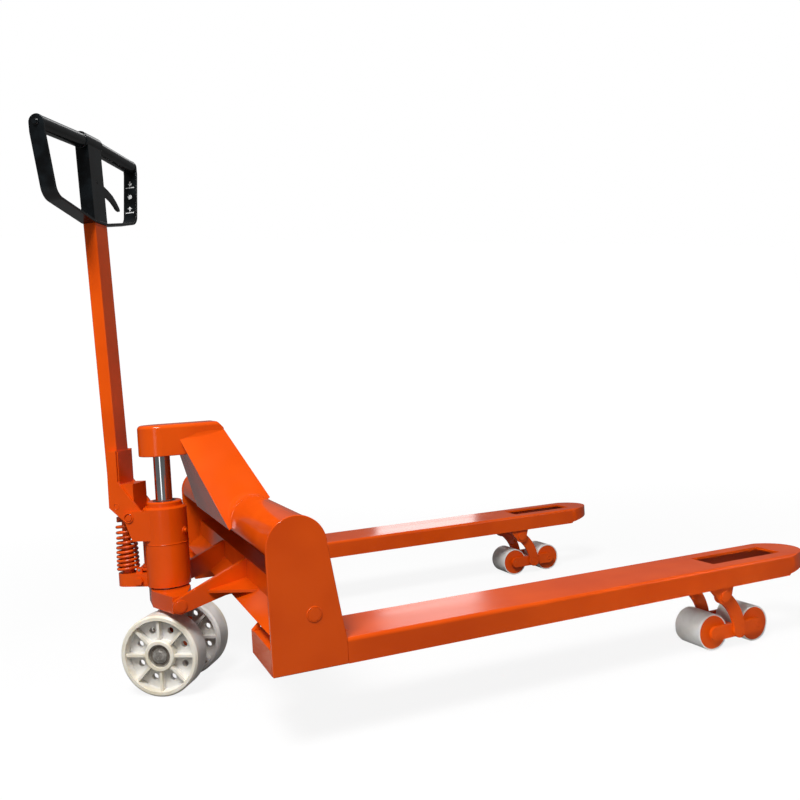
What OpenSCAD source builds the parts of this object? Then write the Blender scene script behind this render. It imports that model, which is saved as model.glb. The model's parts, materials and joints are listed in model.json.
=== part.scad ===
// Manual hydraulic pallet truck, forks raised and the front end part-steered.
// Millimetres, +Z up, +X towards the fork tips, floor at z = 0, origin under the middle of the truck.
// Pieces are drawn from the steering axis, which lies at x = 0 before the whole truck is centred.
// The right side is -Y, and the left side mirrors it.

/* [Forks] */
// Width over both forks
overall_w = 1044; // [980:2:1200]
// Width of one fork
fork_w = 152; // [146:1:160]
// Depth of the fork channel
fork_h = 48; // [46:1:54]
// Thickness of the pressed fork sheet
fork_sheet = 6; // [5:0.5:7]
// Outer bend radius along the top edges of a fork
fork_bend_r = 8; // [6.5:0.5:12]
// Distance from the steering axis to the fork tips
fork_reach = 1464; // [1440:2:1600]
// Distance from the steering axis to the back of the heels
fork_back = 110; // [106:1:116]
// Height of the fork tops, raised
fork_raised = 200; // [198:1:202]
// Length of the rounded nose
nose_l = 91; // [70:1:100]
// Small step under the fork where the nose starts
nose_step = 4; // [2:0.5:8]
// Rise of the nose underside from that step to the tip
nose_rise = 15; // [6:1:20]
// Width of the slot in the fork top over the rollers
roller_slot_w = 74; // [60:1:84]
// Thickness of the stop plate inside each heel
heel_pad = 14; // [8:1:18]

/* [Heels and cross cover] */
// Thickness of the side plates
side_t = 10; // [8:1:12]
// Radius of the round top of a side plate
heel_r = 58; // [56:1:60]
// Height of the centre of that round top
heel_round_z = 382; // [378:1:390]
// Distance from the steering axis to the foot of the side plate's front edge
heel_front = 254; // [250:1:262]
// Thickness of the bent cover plate
cover_t = 8; // [6:1:10]
// How far the cover sits inside the side plate's outline
cover_inset = 2; // [1:0.5:4]
// Height of the cover's rear edge
cover_rear_z = 372; // [366:1:378]
// Height of the cover's front edge
cover_front_z = 240; // [238:1:280]

/* [Gooseneck and lift head] */
// Width of the lift head
head_w = 100; // [96:1:104]
// Height of the underside of the lift head, raised
head_z = 531; // [530:1:540]
// Depth of the lift head
head_h = 71; // [64:1:78]
// Reach of the head's front face past the ram
head_front = 139; // [134:1:144]
// Rounding along the top edge of the head
head_edge_r = 9; // [4:1:12]
// Thickness of the gooseneck plates
neck_t = 8; // [6:1:10]
// Half width of the gooseneck's rear foot
neck_rear_half = 213; // [200:1:225]
// Half width of the gooseneck's front foot
neck_front_half = 177; // [165:1:190]
// Distance from the steering axis to the gooseneck's rear edge under the head
neck_back = 37; // [34:1:46]
// Distance from the steering axis to the gooseneck's front foot
neck_foot = 207; // [198:1:212]

/* [Lift linkage] */
// Lift travel of the forks
lift = 100; // [80:1:100]
// Distance from the steering axis to the rocker pivot
rocker_x = 193; // [190:1:196]
// Height of the rocker pivot, raised
rocker_z = 255; // [253:1:258]
// Diameter of the rocker pivot pins
rocker_pin_d = 25; // [22:1:26]
// Wall of the bush on each rocker pivot pin
bush_wall = 4; // [3:0.5:5]
// Distance of the yoke pins in front of the steering axis
yoke_pin_x = 5; // [0:1:8]
// Height of the yoke pins
yoke_pin_z = 208; // [206:1:210]
// Diameter of the yoke pins
yoke_pin_d = 18; // [16:1:20]
// Clear width between the two lift arms
lift_arm_gap = 244; // [240:2:256]
// Thickness of a lift arm
lift_arm_t = 14; // [12:1:16]
// Depth of a lift arm at the yoke pin
lift_arm_h = 34; // [33:1:38]
// Length of the torsion beam's section along X, at its foot
beam_w = 88; // [80:1:90]
// Height of the torsion beam's section
beam_h = 86; // [76:1:88]
// Reach of each gusset along the torsion beam
gusset_l = 124; // [90:1:140]
// Wall of the torsion beam
beam_wall = 5; // [4:0.5:7]
// Thickness of the crank levers that work the push rods
crank_t = 12; // [10:1:14]
// Diameter of the crank pins
crank_pin_d = 12; // [10:1:14]
// Diameter of a push rod
rod_d = 20; // [16:1:22]

/* [Load rollers] */
// Diameter of a load roller
roller_d = 84; // [80:1:86]
// Width of a load roller
roller_w = 80; // [72:1:84]
// Distance between the two roller axles of a bogie
roller_pitch = 126; // [122:1:130]
// Diameter of the roller axles
roller_axle_d = 15; // [12:1:18]
// Depth of a bogie link plate
bogie_h = 32; // [28:1:36]
// Thickness of the bogie plates, roller arms and fork lugs
link_t = 8; // [7:0.5:9]
// Distance from the steering axis to the roller arm pivots
arm_pivot_x = 1175; // [1164:1:1182]
// Drop of the roller arm pivots below the forks
arm_pivot_drop = 21; // [20:1:24]
// Length of a roller arm between its pivots
roller_arm_l = 102; // [100:1:106]
// Rise of the curved roller arm above the straight line between its pivots
arm_bow = 12; // [6:1:16]
// Depth of the curved roller arm
roller_arm_h = 32; // [28:1:36]
// Radius of the lever that turns a roller arm
lever_r = 40; // [38:1:42]
// Diameter of the stub pins and bogie pins
stub_d = 20; // [16:1:22]
// Diameter of the bar across a pair of arm levers
lever_bar_d = 16; // [14:1:18]

/* [Steer wheels] */
// Diameter of a steer wheel
wheel_d = 182; // [172:1:182]
// Width of a steer wheel
wheel_w = 54; // [48:1:56]
// Clear width between the two steer wheels
wheel_gap = 76; // [70:1:78]
// Distance of the steer axle in front of the steering axis
axle_x = 8; // [0:1:8]
// Thickness of the wheel rim
rim_t = 13; // [10:1:16]
// Depth of the dished face of a wheel
dish = 21; // [16:1:22]
// Diameter of the wheel hub
hub_d = 70; // [66:1:76]
// Number of ribs, and of the holes between them
rib_count = 8; // [6:1:10]
// Thickness of a wheel rib
rib_t = 6; // [4:0.5:8]
// Diameter of the holes in the wheel web
web_hole_d = 15; // [10:1:18]
// Outside diameter of a wheel bearing
bearing_d = 52; // [47:1:55]
// Width of a wheel bearing
bearing_w = 15; // [12:1:16]
// Diameter of the steer axle
axle_d = 25; // [20:1:25]

/* [Pump] */
// Steering angle of the front end
steer = -32.8; // [-60:0.1:60]
// Diameter of the pump barrel
barrel_d = 98; // [94:1:102]
// Height of the pump's underside
pump_z = 232; // [231:1:236]
// Height of the seam between pump base and jacket
seam_z = 330; // [325:1:335]
// Height of the top of the jacket
barrel_top = 415; // [412:1:420]
// Diameter of the gland nut
gland_d = 80; // [74:1:86]
// Height of the gland nut above the jacket
gland_h = 11; // [8:1:12]
// Diameter of the ram
ram_d = 38; // [34:1:42]
// Height of the lower end of the ram, raised
ram_foot = 345; // [345:1:360]
// Distance from the side of the barrel back to the plunger
plunger_gap = 51; // [50:0.5:53]
// Height of the top of the plunger lug
lug_top = 260; // [256:1:264]
// Radius of the round end of the plunger lug
lug_r = 23; // [22:0.5:24]
// Diameter of the plunger
plunger_d = 18; // [14:1:20]
// Mean diameter of the plunger spring
spring_d = 42; // [40:0.5:43]
// Wire diameter of the plunger spring
spring_wire = 6; // [4:0.5:6]
// Number of turns in the plunger spring
spring_turns = 10.5; // [8:0.5:11]
// Height of the upper end of the plunger spring
spring_top = 385; // [383:1:387]
// Diameter of the steering stem
stem_d = 50; // [44:1:52]

/* [Handle] */
// Distance from the side of the barrel back to the handle pivot
pivot_gap = 17; // [16:0.5:18]
// Height of the handle pivot
pivot_z = 394; // [393:1:395]
// Diameter of the handle pivot pin
pivot_pin_d = 14; // [12:1:16]
// Distance from the side of the barrel back to the pressure roller
press_gap = 50; // [49:0.5:51]
// Height of the pressure roller
press_z = 420; // [419:0.5:421]
// Diameter of the pressure roller
press_d = 24; // [20:1:24]
// Width of the handle base between its cheeks
base_w = 60; // [58:1:62]
// Thickness of a cheek of the handle base
cheek_t = 8; // [6:1:9]
// Height of the top of the handle base
base_top = 548; // [540:1:556]
// Width of the handle tube across the truck
tube_w = 53; // [48:1:54]
// Depth of the handle tube along the truck
tube_d = 30; // [26:1:32]
// Wall of the handle tube
tube_wall = 3; // [2:0.5:4]
// Distance from the side of the barrel back to the tube's centre, at the top of the handle base
tube_gap = 62; // [61:0.5:63]
// Backward lean of the handle, degrees
lean = 1.7; // [1:0.1:2.5]
// Length of the handle tube above the handle base
tube_l = 532; // [480:2:600]
// Height of the grip rail above the tube's top
loop_h = 174; // [150:1:190]
// Length of the grip rail between the straps
rail_l = 386; // [340:2:420]
// Diameter of the grip rail
rail_d = 34; // [30:1:36]
// Rise of the grip rail from its ends to its middle
rail_rise = 9; // [6:0.5:12]
// Width of the loop strap
strap_w = 35; // [30:1:38]
// Thickness of the loop strap
strap_t = 6; // [5:0.5:8]
// Height of the strap's lower corners above the tube's top
strap_rise = 24; // [16:1:34]
// Inner radius of the strap's lower corners
strap_r = 26; // [20:1:32]
// How far each side of the strap leans in towards its lower corner
strap_taper = 20; // [10:1:26]
// Length of the control lever
lever_l = 118; // [110:1:126]
// Angle that the control lever moves each way from neutral, degrees
lever_swing = 12; // [8:1:14]

/* [Hidden] */
$fn = 64;
e = 0.01;
// Radial running clearance of a turning or sliding shaft
run = 0.05;
// Gap between faces that pass each other
gap = 0.5;

// Forks and heels
fork_y = (overall_w - fork_w) / 2;
fork_bot = fork_raised - fork_h;
side_y = overall_w / 2;
nose_x = fork_reach - nose_l;
heel_round_x = fork_back + heel_r;

// Roller arms: two bent plates between the fork lugs, with the bogie plates between them
arm_pivot_z = fork_bot - arm_pivot_drop;
lug_out = fork_w / 2 - fork_sheet;
arm_out = lug_out - link_t - 1;
bogie_out = arm_out - link_t - gap;
arm_up = asin((arm_pivot_z - roller_d / 2) / roller_arm_l);
arm_down = asin((arm_pivot_z - lift - roller_d / 2) / roller_arm_l);
arm_turn = arm_up - arm_down;
bogie_x = arm_pivot_x + roller_arm_l * cos(arm_up);
bogie_z = roller_d / 2;
lever_angle = 90 - arm_turn / 2;
lever_x = arm_pivot_x + lever_r * cos(lever_angle);
lever_z = arm_pivot_z + lever_r * sin(lever_angle);
roller_slot_x0 = arm_pivot_x;
roller_slot_x1 = arm_pivot_x + roller_arm_l * cos(arm_down) + roller_pitch / 2 + roller_d / 2 + 6;

// Rocker: swings from the yoke pins, and its cranks swing evenly about straight down
rocker_turn = atan2(rocker_z - yoke_pin_z, rocker_x - yoke_pin_x)
    + atan2(lift - rocker_z + yoke_pin_z, rocker_x - yoke_pin_x);
lift_arm_angle = atan2(rocker_z - yoke_pin_z, rocker_x - yoke_pin_x);
lift_arm_l = norm([rocker_z - yoke_pin_z, rocker_x - yoke_pin_x]);
rod_travel = 2 * lever_r * sin(arm_turn / 2);
crank_r = rod_travel / 2 / sin(rocker_turn / 2);
crank_x = rocker_x + rod_travel / 2;
crank_z = rocker_z - crank_r * cos(rocker_turn / 2);
rod_z = (crank_z + lever_z) / 2 + 2;
beam_x1 = rocker_x + 9;
beam_x0 = beam_x1 - beam_w;
beam_back = rocker_x - 40;
beam_z0 = rocker_z - 47;
beam_knee = beam_z0 + beam_h / 2;
boss_r = rocker_pin_d / 2 + bush_wall + 14;

// Pump and steered front end
axle_z = wheel_d / 2;
wheel_y = wheel_gap / 2 + wheel_w / 2;
web_y = base_w / 2 + cheek_t + gap;
yoke_z0 = wheel_d + 8;
yoke_z1 = pump_z - 4;
stroke = 48;
plunger_back = barrel_d / 2 + plunger_gap;
pivot_back = barrel_d / 2 + pivot_gap;
press_back = barrel_d / 2 + press_gap;
tube_back = barrel_d / 2 + tube_gap;
lug_z = pump_z - 1.5;
spring_r = spring_d / 2;
cap_top = press_z - press_d / 2 - 0.6;
plunger_l = cap_top - stroke - pump_z - 12;
sleeve_h = spring_top - lug_top - stroke - 16;

// Release gear between the barrel and the spring
release_x = -barrel_d / 2 - 8;
release_pivot_x = release_x - 10;
release_z = lug_top + 7;
release_half = 8;

// Hex plug in the side of the plunger lug
plug_x = -barrel_d / 2 - 12;
plug_z = lug_top - 16;

// Handle, drawn upright from the top of its base and then leaned back
loop_z = base_top + tube_l;
rail_z = tube_l + loop_h;
rail_half = rail_l / 2;
rail_top = rail_z + rail_rise;
rail_tilt = atan2(rail_rise, rail_half);
lever_pivot_z = tube_l + loop_h / 2 + 4;
tube_foot = base_top - press_z - 38;

// Centring of the finished truck along X
rail_back = tube_back + rail_z * sin(lean);
rail_end = rail_half + strap_t;
rear_reach = rail_back * cos(steer) + rail_end * abs(sin(steer)) + strap_w / 2 * cos(steer);
steer_x = -(fork_reach - rear_reach) / 2;

ORANGE = "#d5500f";
BLACK = "#23282a";
STEEL = "#b9bcbf";
NYLON = "#e9e4d2";
PALE = "#c9cbcb";

// Moves the truck so that its middle is at x = 0
module centred() {
    translate([steer_x, 0, 0]) children();
}

// Turns the front end about the steering axis
module steered() {
    centred() rotate([0, 0, steer]) children();
}

// Leans a piece drawn upright from the top of the handle base
module leaned() {
    steered() translate([-tube_back, 0, base_top]) rotate([0, -lean, 0]) children();
}

// Draws the right side's piece, or its mirror image on the left
module on_side(left) {
    centred() mirror([0, left ? 1 : 0, 0]) children();
}

// Draws both sides' pieces
module both_sides() {
    children();
    mirror([0, 1, 0]) children();
}

// Extrudes an outline drawn in X and Z from y0 to y1
module plate(y0, y1) {
    translate([0, y1, 0]) rotate([90, 0, 0]) linear_extrude(y1 - y0) children();
}

// Extrudes an outline drawn in Y and Z from x0 to x1
module bar(x0, x1) {
    translate([x0, 0, 0]) rotate([90, 0, 90]) linear_extrude(x1 - x0) children();
}

// Round pin along Y
module pin(x, z, d, y0, y1) {
    translate([x, y0, z]) rotate([-90, 0, 0]) cylinder(d = d, h = y1 - y0);
}

// Outline of a bar with round ends between two points, a hair narrower than its ends
module link_outline(x0, z0, x1, z1, r) {
    translate([x0, z0]) circle(r);
    translate([x1, z1]) circle(r);
    translate([x0, z0]) rotate(atan2(z1 - z0, x1 - x0)) translate([0, run - r])
        square([norm([x1 - x0, z1 - z0]), 2 * (r - run)]);
}

// Upright slotted hole along Y, for a pin that also moves up and down
module upright_slot(x, z0, z1, d, y0, y1) {
    plate(y0, y1) link_outline(x, z0, x, z1, d / 2);
}

// Plan of a fork, with a half-round nose, drawn inside the sheet by inset
module fork_plan(inset) {
    half = fork_w / 2 - inset;
    nose = [for (a = [-90 : 7.5 : 90]) [nose_x + (nose_l - inset) * cos(a), half * sin(a)]];
    translate([0, -fork_y])
        polygon(concat([[fork_back + inset, half], [fork_back + inset, -half]], nose));
}

// Section of the fork channel with bent top edges
module fork_section() {
    translate([-fork_y, 0]) {
        translate([-fork_w / 2, fork_bot]) square([fork_w, fork_h - fork_bend_r]);
        translate([-fork_w / 2 + fork_bend_r, fork_bot]) square([fork_w - 2 * fork_bend_r, fork_h]);
        for (s = [-1, 1])
            translate([s * (fork_w / 2 - fork_bend_r), fork_raised - fork_bend_r]) circle(fork_bend_r);
    }
}

// Side view of a fork, with the stepped and rising nose underside
module fork_side() {
    polygon([
        [fork_back, fork_bot], [nose_x, fork_bot], [nose_x + nose_step, fork_bot + nose_step],
        [fork_reach, fork_bot + nose_step + nose_rise], [fork_reach, fork_raised], [fork_back, fork_raised],
    ]);
}

// One lug under the fork that carries a roller arm
module fork_lug(y0) {
    difference() {
        plate(y0, y0 + link_t) {
            translate([arm_pivot_x, arm_pivot_z]) circle(stub_d / 2 + 10);
            polygon([
                [arm_pivot_x - stub_d / 2 - 7, arm_pivot_z - 9],
                [arm_pivot_x + stub_d / 2 + 7, arm_pivot_z - 9],
                [arm_pivot_x + 26, fork_bot], [arm_pivot_x + 26, fork_raised - fork_sheet + 1],
                [arm_pivot_x - 42, fork_raised - fork_sheet + 1], [arm_pivot_x - 42, fork_bot],
            ]);
        }
        pin(arm_pivot_x, arm_pivot_z, stub_d, y0 - 1, y0 + link_t + 1);
    }
}

// Pressed fork channel, open below, with the roller slot and the slot for the crank lever
module fork(left) {
    color(ORANGE) on_side(left) {
        difference() {
            intersection() {
                bar(fork_back, fork_reach) fork_section();
                translate([0, 0, fork_bot]) linear_extrude(fork_h) fork_plan(0);
                plate(-side_y, side_y) fork_side();
            }
            translate([0, 0, fork_bot - 1]) linear_extrude(fork_h - fork_sheet + 1) fork_plan(fork_sheet);
            translate([0, -side_y - 1, fork_bot - 1]) cube([heel_front, side_t + 1, fork_h + 2]);
            translate([roller_slot_x0, -fork_y - roller_slot_w / 2, fork_raised - fork_sheet - 1])
                cube([roller_slot_x1 - roller_slot_x0, roller_slot_w, fork_sheet + 2]);
            translate([rocker_x - 46, -fork_y - crank_t / 2 - 3, fork_raised - fork_sheet - 1])
                cube([92, crank_t + 6, fork_sheet + 2]);
        }
        fork_lug(-fork_y - lug_out);
        fork_lug(-fork_y + lug_out - link_t);
        plate(-fork_y + fork_w / 2 - 1, -fork_y + fork_w / 2 + heel_pad) polygon([
            [fork_back, fork_bot], [heel_front - 60, fork_bot],
            [heel_front - 60, fork_raised - fork_bend_r - 2],
            [fork_back + 40, fork_raised], [fork_back + 15, fork_raised], [fork_back + 15, fork_raised + 12],
            [fork_back, fork_raised - 2],
        ]);
    }
}

// Upright side plate with a round top, flush with the outside of the fork
module side_plate(left) {
    color(ORANGE) on_side(left)
        difference() {
            plate(-side_y, -side_y + side_t) {
                translate([heel_round_x, heel_round_z]) circle(heel_r);
                polygon([
                    [fork_back, fork_bot], [heel_front, fork_bot], [heel_front, fork_raised],
                    [heel_front - 8, fork_raised + 46], [heel_round_x + heel_r, heel_round_z],
                    [fork_back, heel_round_z],
                ]);
            }
            pin(rocker_x, rocker_z, rocker_pin_d, -side_y - 1, -side_y + side_t + 1);
        }
}

// Bent cover plate between the side plates: round top, upright rear edge and sloping front
module cross_cover() {
    r = heel_r - cover_inset;
    foot = (heel_round_z - cover_front_z) * 0.14;
    color(ORANGE) centred() union() {
        plate(-side_y + side_t, side_y - side_t) difference() {
            translate([heel_round_x, heel_round_z]) circle(r);
            translate([heel_round_x, heel_round_z]) circle(r - cover_t);
            translate([heel_round_x - r - 1, cover_rear_z - 2 * r]) square([2 * r + 2, 2 * r]);
            translate([heel_round_x, cover_rear_z - 1]) square([r + 1, heel_round_z - cover_rear_z + 1]);
        }
        plate(-side_y + side_t, side_y - side_t) polygon([
            [heel_round_x + r - cover_t, heel_round_z], [heel_round_x + r - cover_t + 1, heel_round_z + 3],
            [heel_round_x + r - 1, heel_round_z + 3], [heel_round_x + r, heel_round_z],
            [heel_round_x + r + foot, cover_front_z], [heel_round_x + r + foot - cover_t, cover_front_z],
        ]);
    }
}

// Corners of the gooseneck box drawn inside its plates by t
function neck_corners(t) = [for (s = [-1, 1]) each [
    [neck_back + t, s * (head_w / 2 - t), head_z + head_h / 2],
    [head_front - t, s * (head_w / 2 - t), head_z + head_h - 20],
    [neck_foot - 2 * t, s * (neck_front_half - 2 * t), heel_round_z + heel_r - 10 - t],
    [fork_back - 4 + t, s * (neck_rear_half - 2 * t), cover_rear_z + 2 - t]]];

// Box through eight corners, four on each side
module neck_box(c) {
    polyhedron(c, [
        [0, 1, 2, 3], [7, 6, 5, 4], [4, 5, 1, 0], [5, 6, 2, 1], [6, 7, 3, 2], [7, 4, 0, 3],
    ]);
}

// Flared box of welded plates from the cover up to the lift head. Its foot is cut in flat facets, so the cut
// is widened until the middle of each facet, and not its ends, touches the cover.
module gooseneck() {
    saddle_d = 2 * (heel_r - cover_inset) / cos(180 / $fn);
    color(ORANGE) centred()
        difference() {
            neck_box(neck_corners(0));
            neck_box(neck_corners(neck_t));
            translate([-head_w, -head_w / 2, head_z]) cube([2 * head_w + head_front, head_w, head_h]);
            pin(heel_round_x, heel_round_z, saddle_d, -side_y, side_y);
        }
}

// Section of the lift head from its middle to its side, rounded at the top edge
module head_section() {
    translate([0, head_z]) square([head_w / 2, head_h - head_edge_r]);
    translate([0, head_z]) square([head_w / 2 - head_edge_r, head_h]);
    translate([head_w / 2 - head_edge_r, head_z + head_h - head_edge_r]) circle(head_edge_r);
}

// Thick lift head, half round over the ram, with a bevelled front
module lift_head() {
    color(ORANGE) centred()
        difference() {
            union() {
                rotate_extrude() intersection() {
                    head_section();
                    translate([0, head_z]) square([head_w, head_h]);
                }
                bar(0, head_front) for (s = [0, 1]) mirror([s, 0]) head_section();
            }
            plate(-head_w, head_w) polygon([
                [head_front - 14, head_z + head_h + e], [head_front + e, head_z + head_h - 16],
                [head_front + e, head_z + head_h + e],
            ]);
            translate([0, 0, head_z - 1]) cylinder(d = ram_d, h = 45);
        }
}

// Hard-chromed lift ram, set into the head and sliding in the pump
module ram() {
    color(STEEL) centred() translate([0, 0, ram_foot]) {
        cylinder(d = ram_d, h = head_z + 44 - ram_foot);
    }
}

// Pins that carry the rocker, with flat heads on the outside of the side plates
module rocker_pivot_pins() {
    color(ORANGE) centred() both_sides()
        pin(rocker_x, rocker_z, rocker_pin_d, -side_y - 1.5, -side_y + side_t + 26);
}

// Stub pins in the fork lugs that carry the roller arms
module roller_arm_pins() {
    color(ORANGE) centred() both_sides() translate([0, -fork_y, 0]) both_sides() {
        pin(arm_pivot_x, arm_pivot_z, stub_d, arm_out - link_t, lug_out);
        pin(arm_pivot_x, arm_pivot_z, stub_d + 6, lug_out, lug_out + 3);
    }
}

// Crosshead under the pump, tapered towards its ends
module yoke() {
    half = lift_arm_gap / 2 - 1;
    mid = stem_d / 2 + 18;
    end = yoke_pin_d / 2 + 6;
    color(ORANGE) centred()
        difference() {
            union() {
                translate([0, 0, yoke_z0]) linear_extrude(yoke_z1 - yoke_z0) polygon([
                    [-mid, -34], [-mid, 34], [yoke_pin_x - end, half], [yoke_pin_x + end, half],
                    [mid, 34], [mid, -34], [yoke_pin_x + end, -half], [yoke_pin_x - end, -half],
                ]);
            }
            translate([0, 0, yoke_z0 - 1]) cylinder(d = stem_d + 2 * run, h = yoke_z1);
            translate([0, 0, yoke_z1 - 6]) cylinder(d = stem_d + 26, h = 20);
            both_sides() pin(yoke_pin_x, yoke_pin_z, yoke_pin_d, -half - 1, -half + 34);
        }
}

// Pins in the ends of the yoke that lift the arms
module yoke_pins() {
    half = lift_arm_gap / 2 - 1;
    color(STEEL) centred() both_sides()
        pin(yoke_pin_x, yoke_pin_z, yoke_pin_d, -half - 1 - lift_arm_t + 5, -half + 34);
}

// Thrust ring that the pump turns on
module thrust_bearing() {
    color(STEEL) centred() translate([0, 0, yoke_z1 - 6])
        difference() {
            cylinder(d = stem_d + 26, h = pump_z - yoke_z1 + 6 - run);
            translate([0, 0, -1]) cylinder(d = stem_d + 2, h = 30);
        }
}

// Lower pump casting with the lug that holds the plunger
module pump_base() {
    color(ORANGE) steered()
        difference() {
            union() {
                translate([0, 0, pump_z]) cylinder(d = barrel_d, h = seam_z - pump_z - 0.6);
                translate([0, 0, pump_z]) cylinder(d = barrel_d - 1.6, h = seam_z - pump_z);
                translate([-plunger_back, 0, lug_z]) cylinder(r = lug_r, h = lug_top - lug_z);
                translate([-plunger_back, -lug_r, lug_z])
                    cube([plunger_gap + 8, 2 * lug_r, lug_top - lug_z]);
                translate([-plunger_back, 0, lug_top - 1]) cylinder(d = plunger_d + 10, h = sleeve_h + 1);
                for (s = [0, 1]) mirror([0, s, 0]) plate(release_half + gap, release_half + gap + 5) {
                    translate([release_pivot_x, release_z]) circle(7);
                    translate([release_pivot_x - 7, lug_top - 1]) square([14, release_z - lug_top + 1]);
                }
            }
            translate([0, 0, ram_foot - lift - 2]) cylinder(d = ram_d + 2 * run, h = 200);
            translate([-plunger_back, 0, cap_top - plunger_l - stroke - 2])
                cylinder(d = plunger_d + 2 * run, h = 200);
            pin(release_pivot_x, release_z, 6, -50, 50);
            pin(plug_x, plug_z, 9, -lug_r - 1, -lug_r + 12);
        }
}

// Web on the pump jacket that holds one end of the handle pivot pin
module handle_web() {
    difference() {
        plate(-web_y - 8, -web_y) {
            translate([-pivot_back, pivot_z]) circle(14);
            polygon([
                [-pivot_back - 14, pivot_z], [-pivot_back + 6, seam_z + 10], [-10, seam_z + 10],
                [-10, barrel_top - 6], [-pivot_back + 4, pivot_z + 13],
            ]);
        }
        cylinder(d = barrel_d - 12, h = 2 * barrel_top);
        pin(-pivot_back, pivot_z, pivot_pin_d, -web_y - 9, -web_y + 1);
    }
}

// Upper pump barrel with the two webs for the handle pivot
module pump_jacket() {
    color(ORANGE) steered()
        difference() {
            union() {
                translate([0, 0, seam_z]) cylinder(d = barrel_d, h = barrel_top - seam_z - 5);
                translate([0, 0, barrel_top - 5 - e]) cylinder(d1 = barrel_d, d2 = barrel_d - 10, h = 5 + e);
                both_sides() handle_web();
            }
            translate([0, 0, seam_z - 1]) cylinder(d = ram_d + 2 * run, h = 200);
            rotate([0, 0, 70]) translate([0, 0, seam_z + 40]) rotate([-90, 0, 0])
                translate([0, 0, barrel_d / 2 - 10]) cylinder(d = 10, h = 30);
        }
}

// Gland nut round the ram on top of the jacket
module gland_nut() {
    color(ORANGE) steered() translate([0, 0, barrel_top])
        difference() {
            union() {
                cylinder(d = gland_d, h = gland_h - 3);
                translate([0, 0, gland_h - 3 - e]) cylinder(d1 = gland_d, d2 = gland_d - 6, h = 3 + e);
            }
            translate([0, 0, -1]) cylinder(d = ram_d + 2 * run, h = 40);
            translate([0, 0, gland_h - 5]) cylinder(d = ram_d + 14, h = 40);
        }
}

// Wiper seal in the top of the gland nut
module wiper_seal() {
    color(BLACK) steered() translate([0, 0, barrel_top + gland_h - 5])
        difference() {
            cylinder(d = ram_d + 14, h = 5.5);
            translate([0, 0, -1]) cylinder(d = ram_d + 2 * run, h = 40);
        }
}

// Steering stem and the housing that holds the steer axle
module axle_carrier() {
    half = wheel_gap / 2 - 1.5;
    color(ORANGE) steered()
        difference() {
            union() {
                translate([0, 0, axle_z + 20]) cylinder(d = stem_d, h = pump_z - axle_z - 20);
                pin(axle_x, axle_z, axle_d + 29, -half, half);
                translate([-stem_d / 2, -half, axle_z]) cube([stem_d + axle_x, 2 * half, 52]);
            }
            pin(axle_x, axle_z, axle_d, -half - 1, half + 1);
        }
}

// Fixed axle of the steer wheels, grooved near its ends
module steer_axle() {
    end = wheel_y + wheel_w / 2 - 3;
    color(STEEL) steered() difference() {
        pin(axle_x, axle_z, axle_d, -end, end);
        both_sides() difference() {
            pin(axle_x, axle_z, axle_d + 4, -end + 2, -end + 4);
            pin(axle_x, axle_z, axle_d - 2, -end + 1, -end + 5);
        }
    }
}

// Circlips that hold the wheels on the axle
module axle_circlips() {
    end = wheel_y + wheel_w / 2 - 3;
    color(STEEL) steered() both_sides() difference() {
        pin(axle_x, axle_z, axle_d + 8, -end + 2, -end + 4);
        pin(axle_x, axle_z, axle_d - 2, -end + 1, -end + 5);
        translate([axle_x - 2, -end + 1, axle_z]) cube([4, 4, 40]);
    }
}

// Bearings on the axle, two in each wheel
module wheel_bearings() {
    inner = wheel_gap / 2 + 2;
    outer = wheel_gap / 2 + wheel_w - 7;
    color(STEEL) steered() both_sides() for (y0 = [-inner - bearing_w, -outer]) difference() {
        pin(axle_x, axle_z, bearing_d, y0, y0 + bearing_w);
        pin(axle_x, axle_z, axle_d, y0 - 1, y0 + bearing_w + 1);
        difference() {
            pin(axle_x, axle_z, bearing_d - 7, y0 - 1, y0 + 1);
            pin(axle_x, axle_z, axle_d + 7, y0 - 2, y0 + 2);
        }
    }
}

// Bleed screw in the side of the jacket
module bleed_screw() {
    color(ORANGE) steered() rotate([0, 0, 70]) translate([0, 0, seam_z + 40]) rotate([-90, 0, 0])
        translate([0, 0, barrel_d / 2 - 10]) {
            cylinder(d = 10, h = 12);
            translate([0, 0, 11]) cylinder(d = 15, h = 6, $fn = 6);
        }
}

// Hex plug in the side of the pump base
module base_plug() {
    color(ORANGE) steered() {
        pin(plug_x, plug_z, 9, -lug_r - 1, -lug_r + 12);
        translate([plug_x, -lug_r, plug_z]) rotate([90, 0, 0]) cylinder(d = 19, h = 8, $fn = 6);
    }
}

// Pin that the handle swings on
module handle_pivot_pin() {
    color(STEEL) steered() pin(-pivot_back, pivot_z, pivot_pin_d, -web_y - 10, web_y + 10);
}

// Plunger with the cap that the pressure roller pushes and the flange over the spring
module plunger() {
    color(STEEL) steered() translate([-plunger_back, 0, 0]) {
        translate([0, 0, cap_top - plunger_l]) cylinder(d = plunger_d, h = plunger_l);
        translate([0, 0, spring_top]) cylinder(d = spring_d - 2, h = 6);
        translate([0, 0, cap_top - 14]) cylinder(d = plunger_d + 6, h = 14);
    }
}

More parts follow.
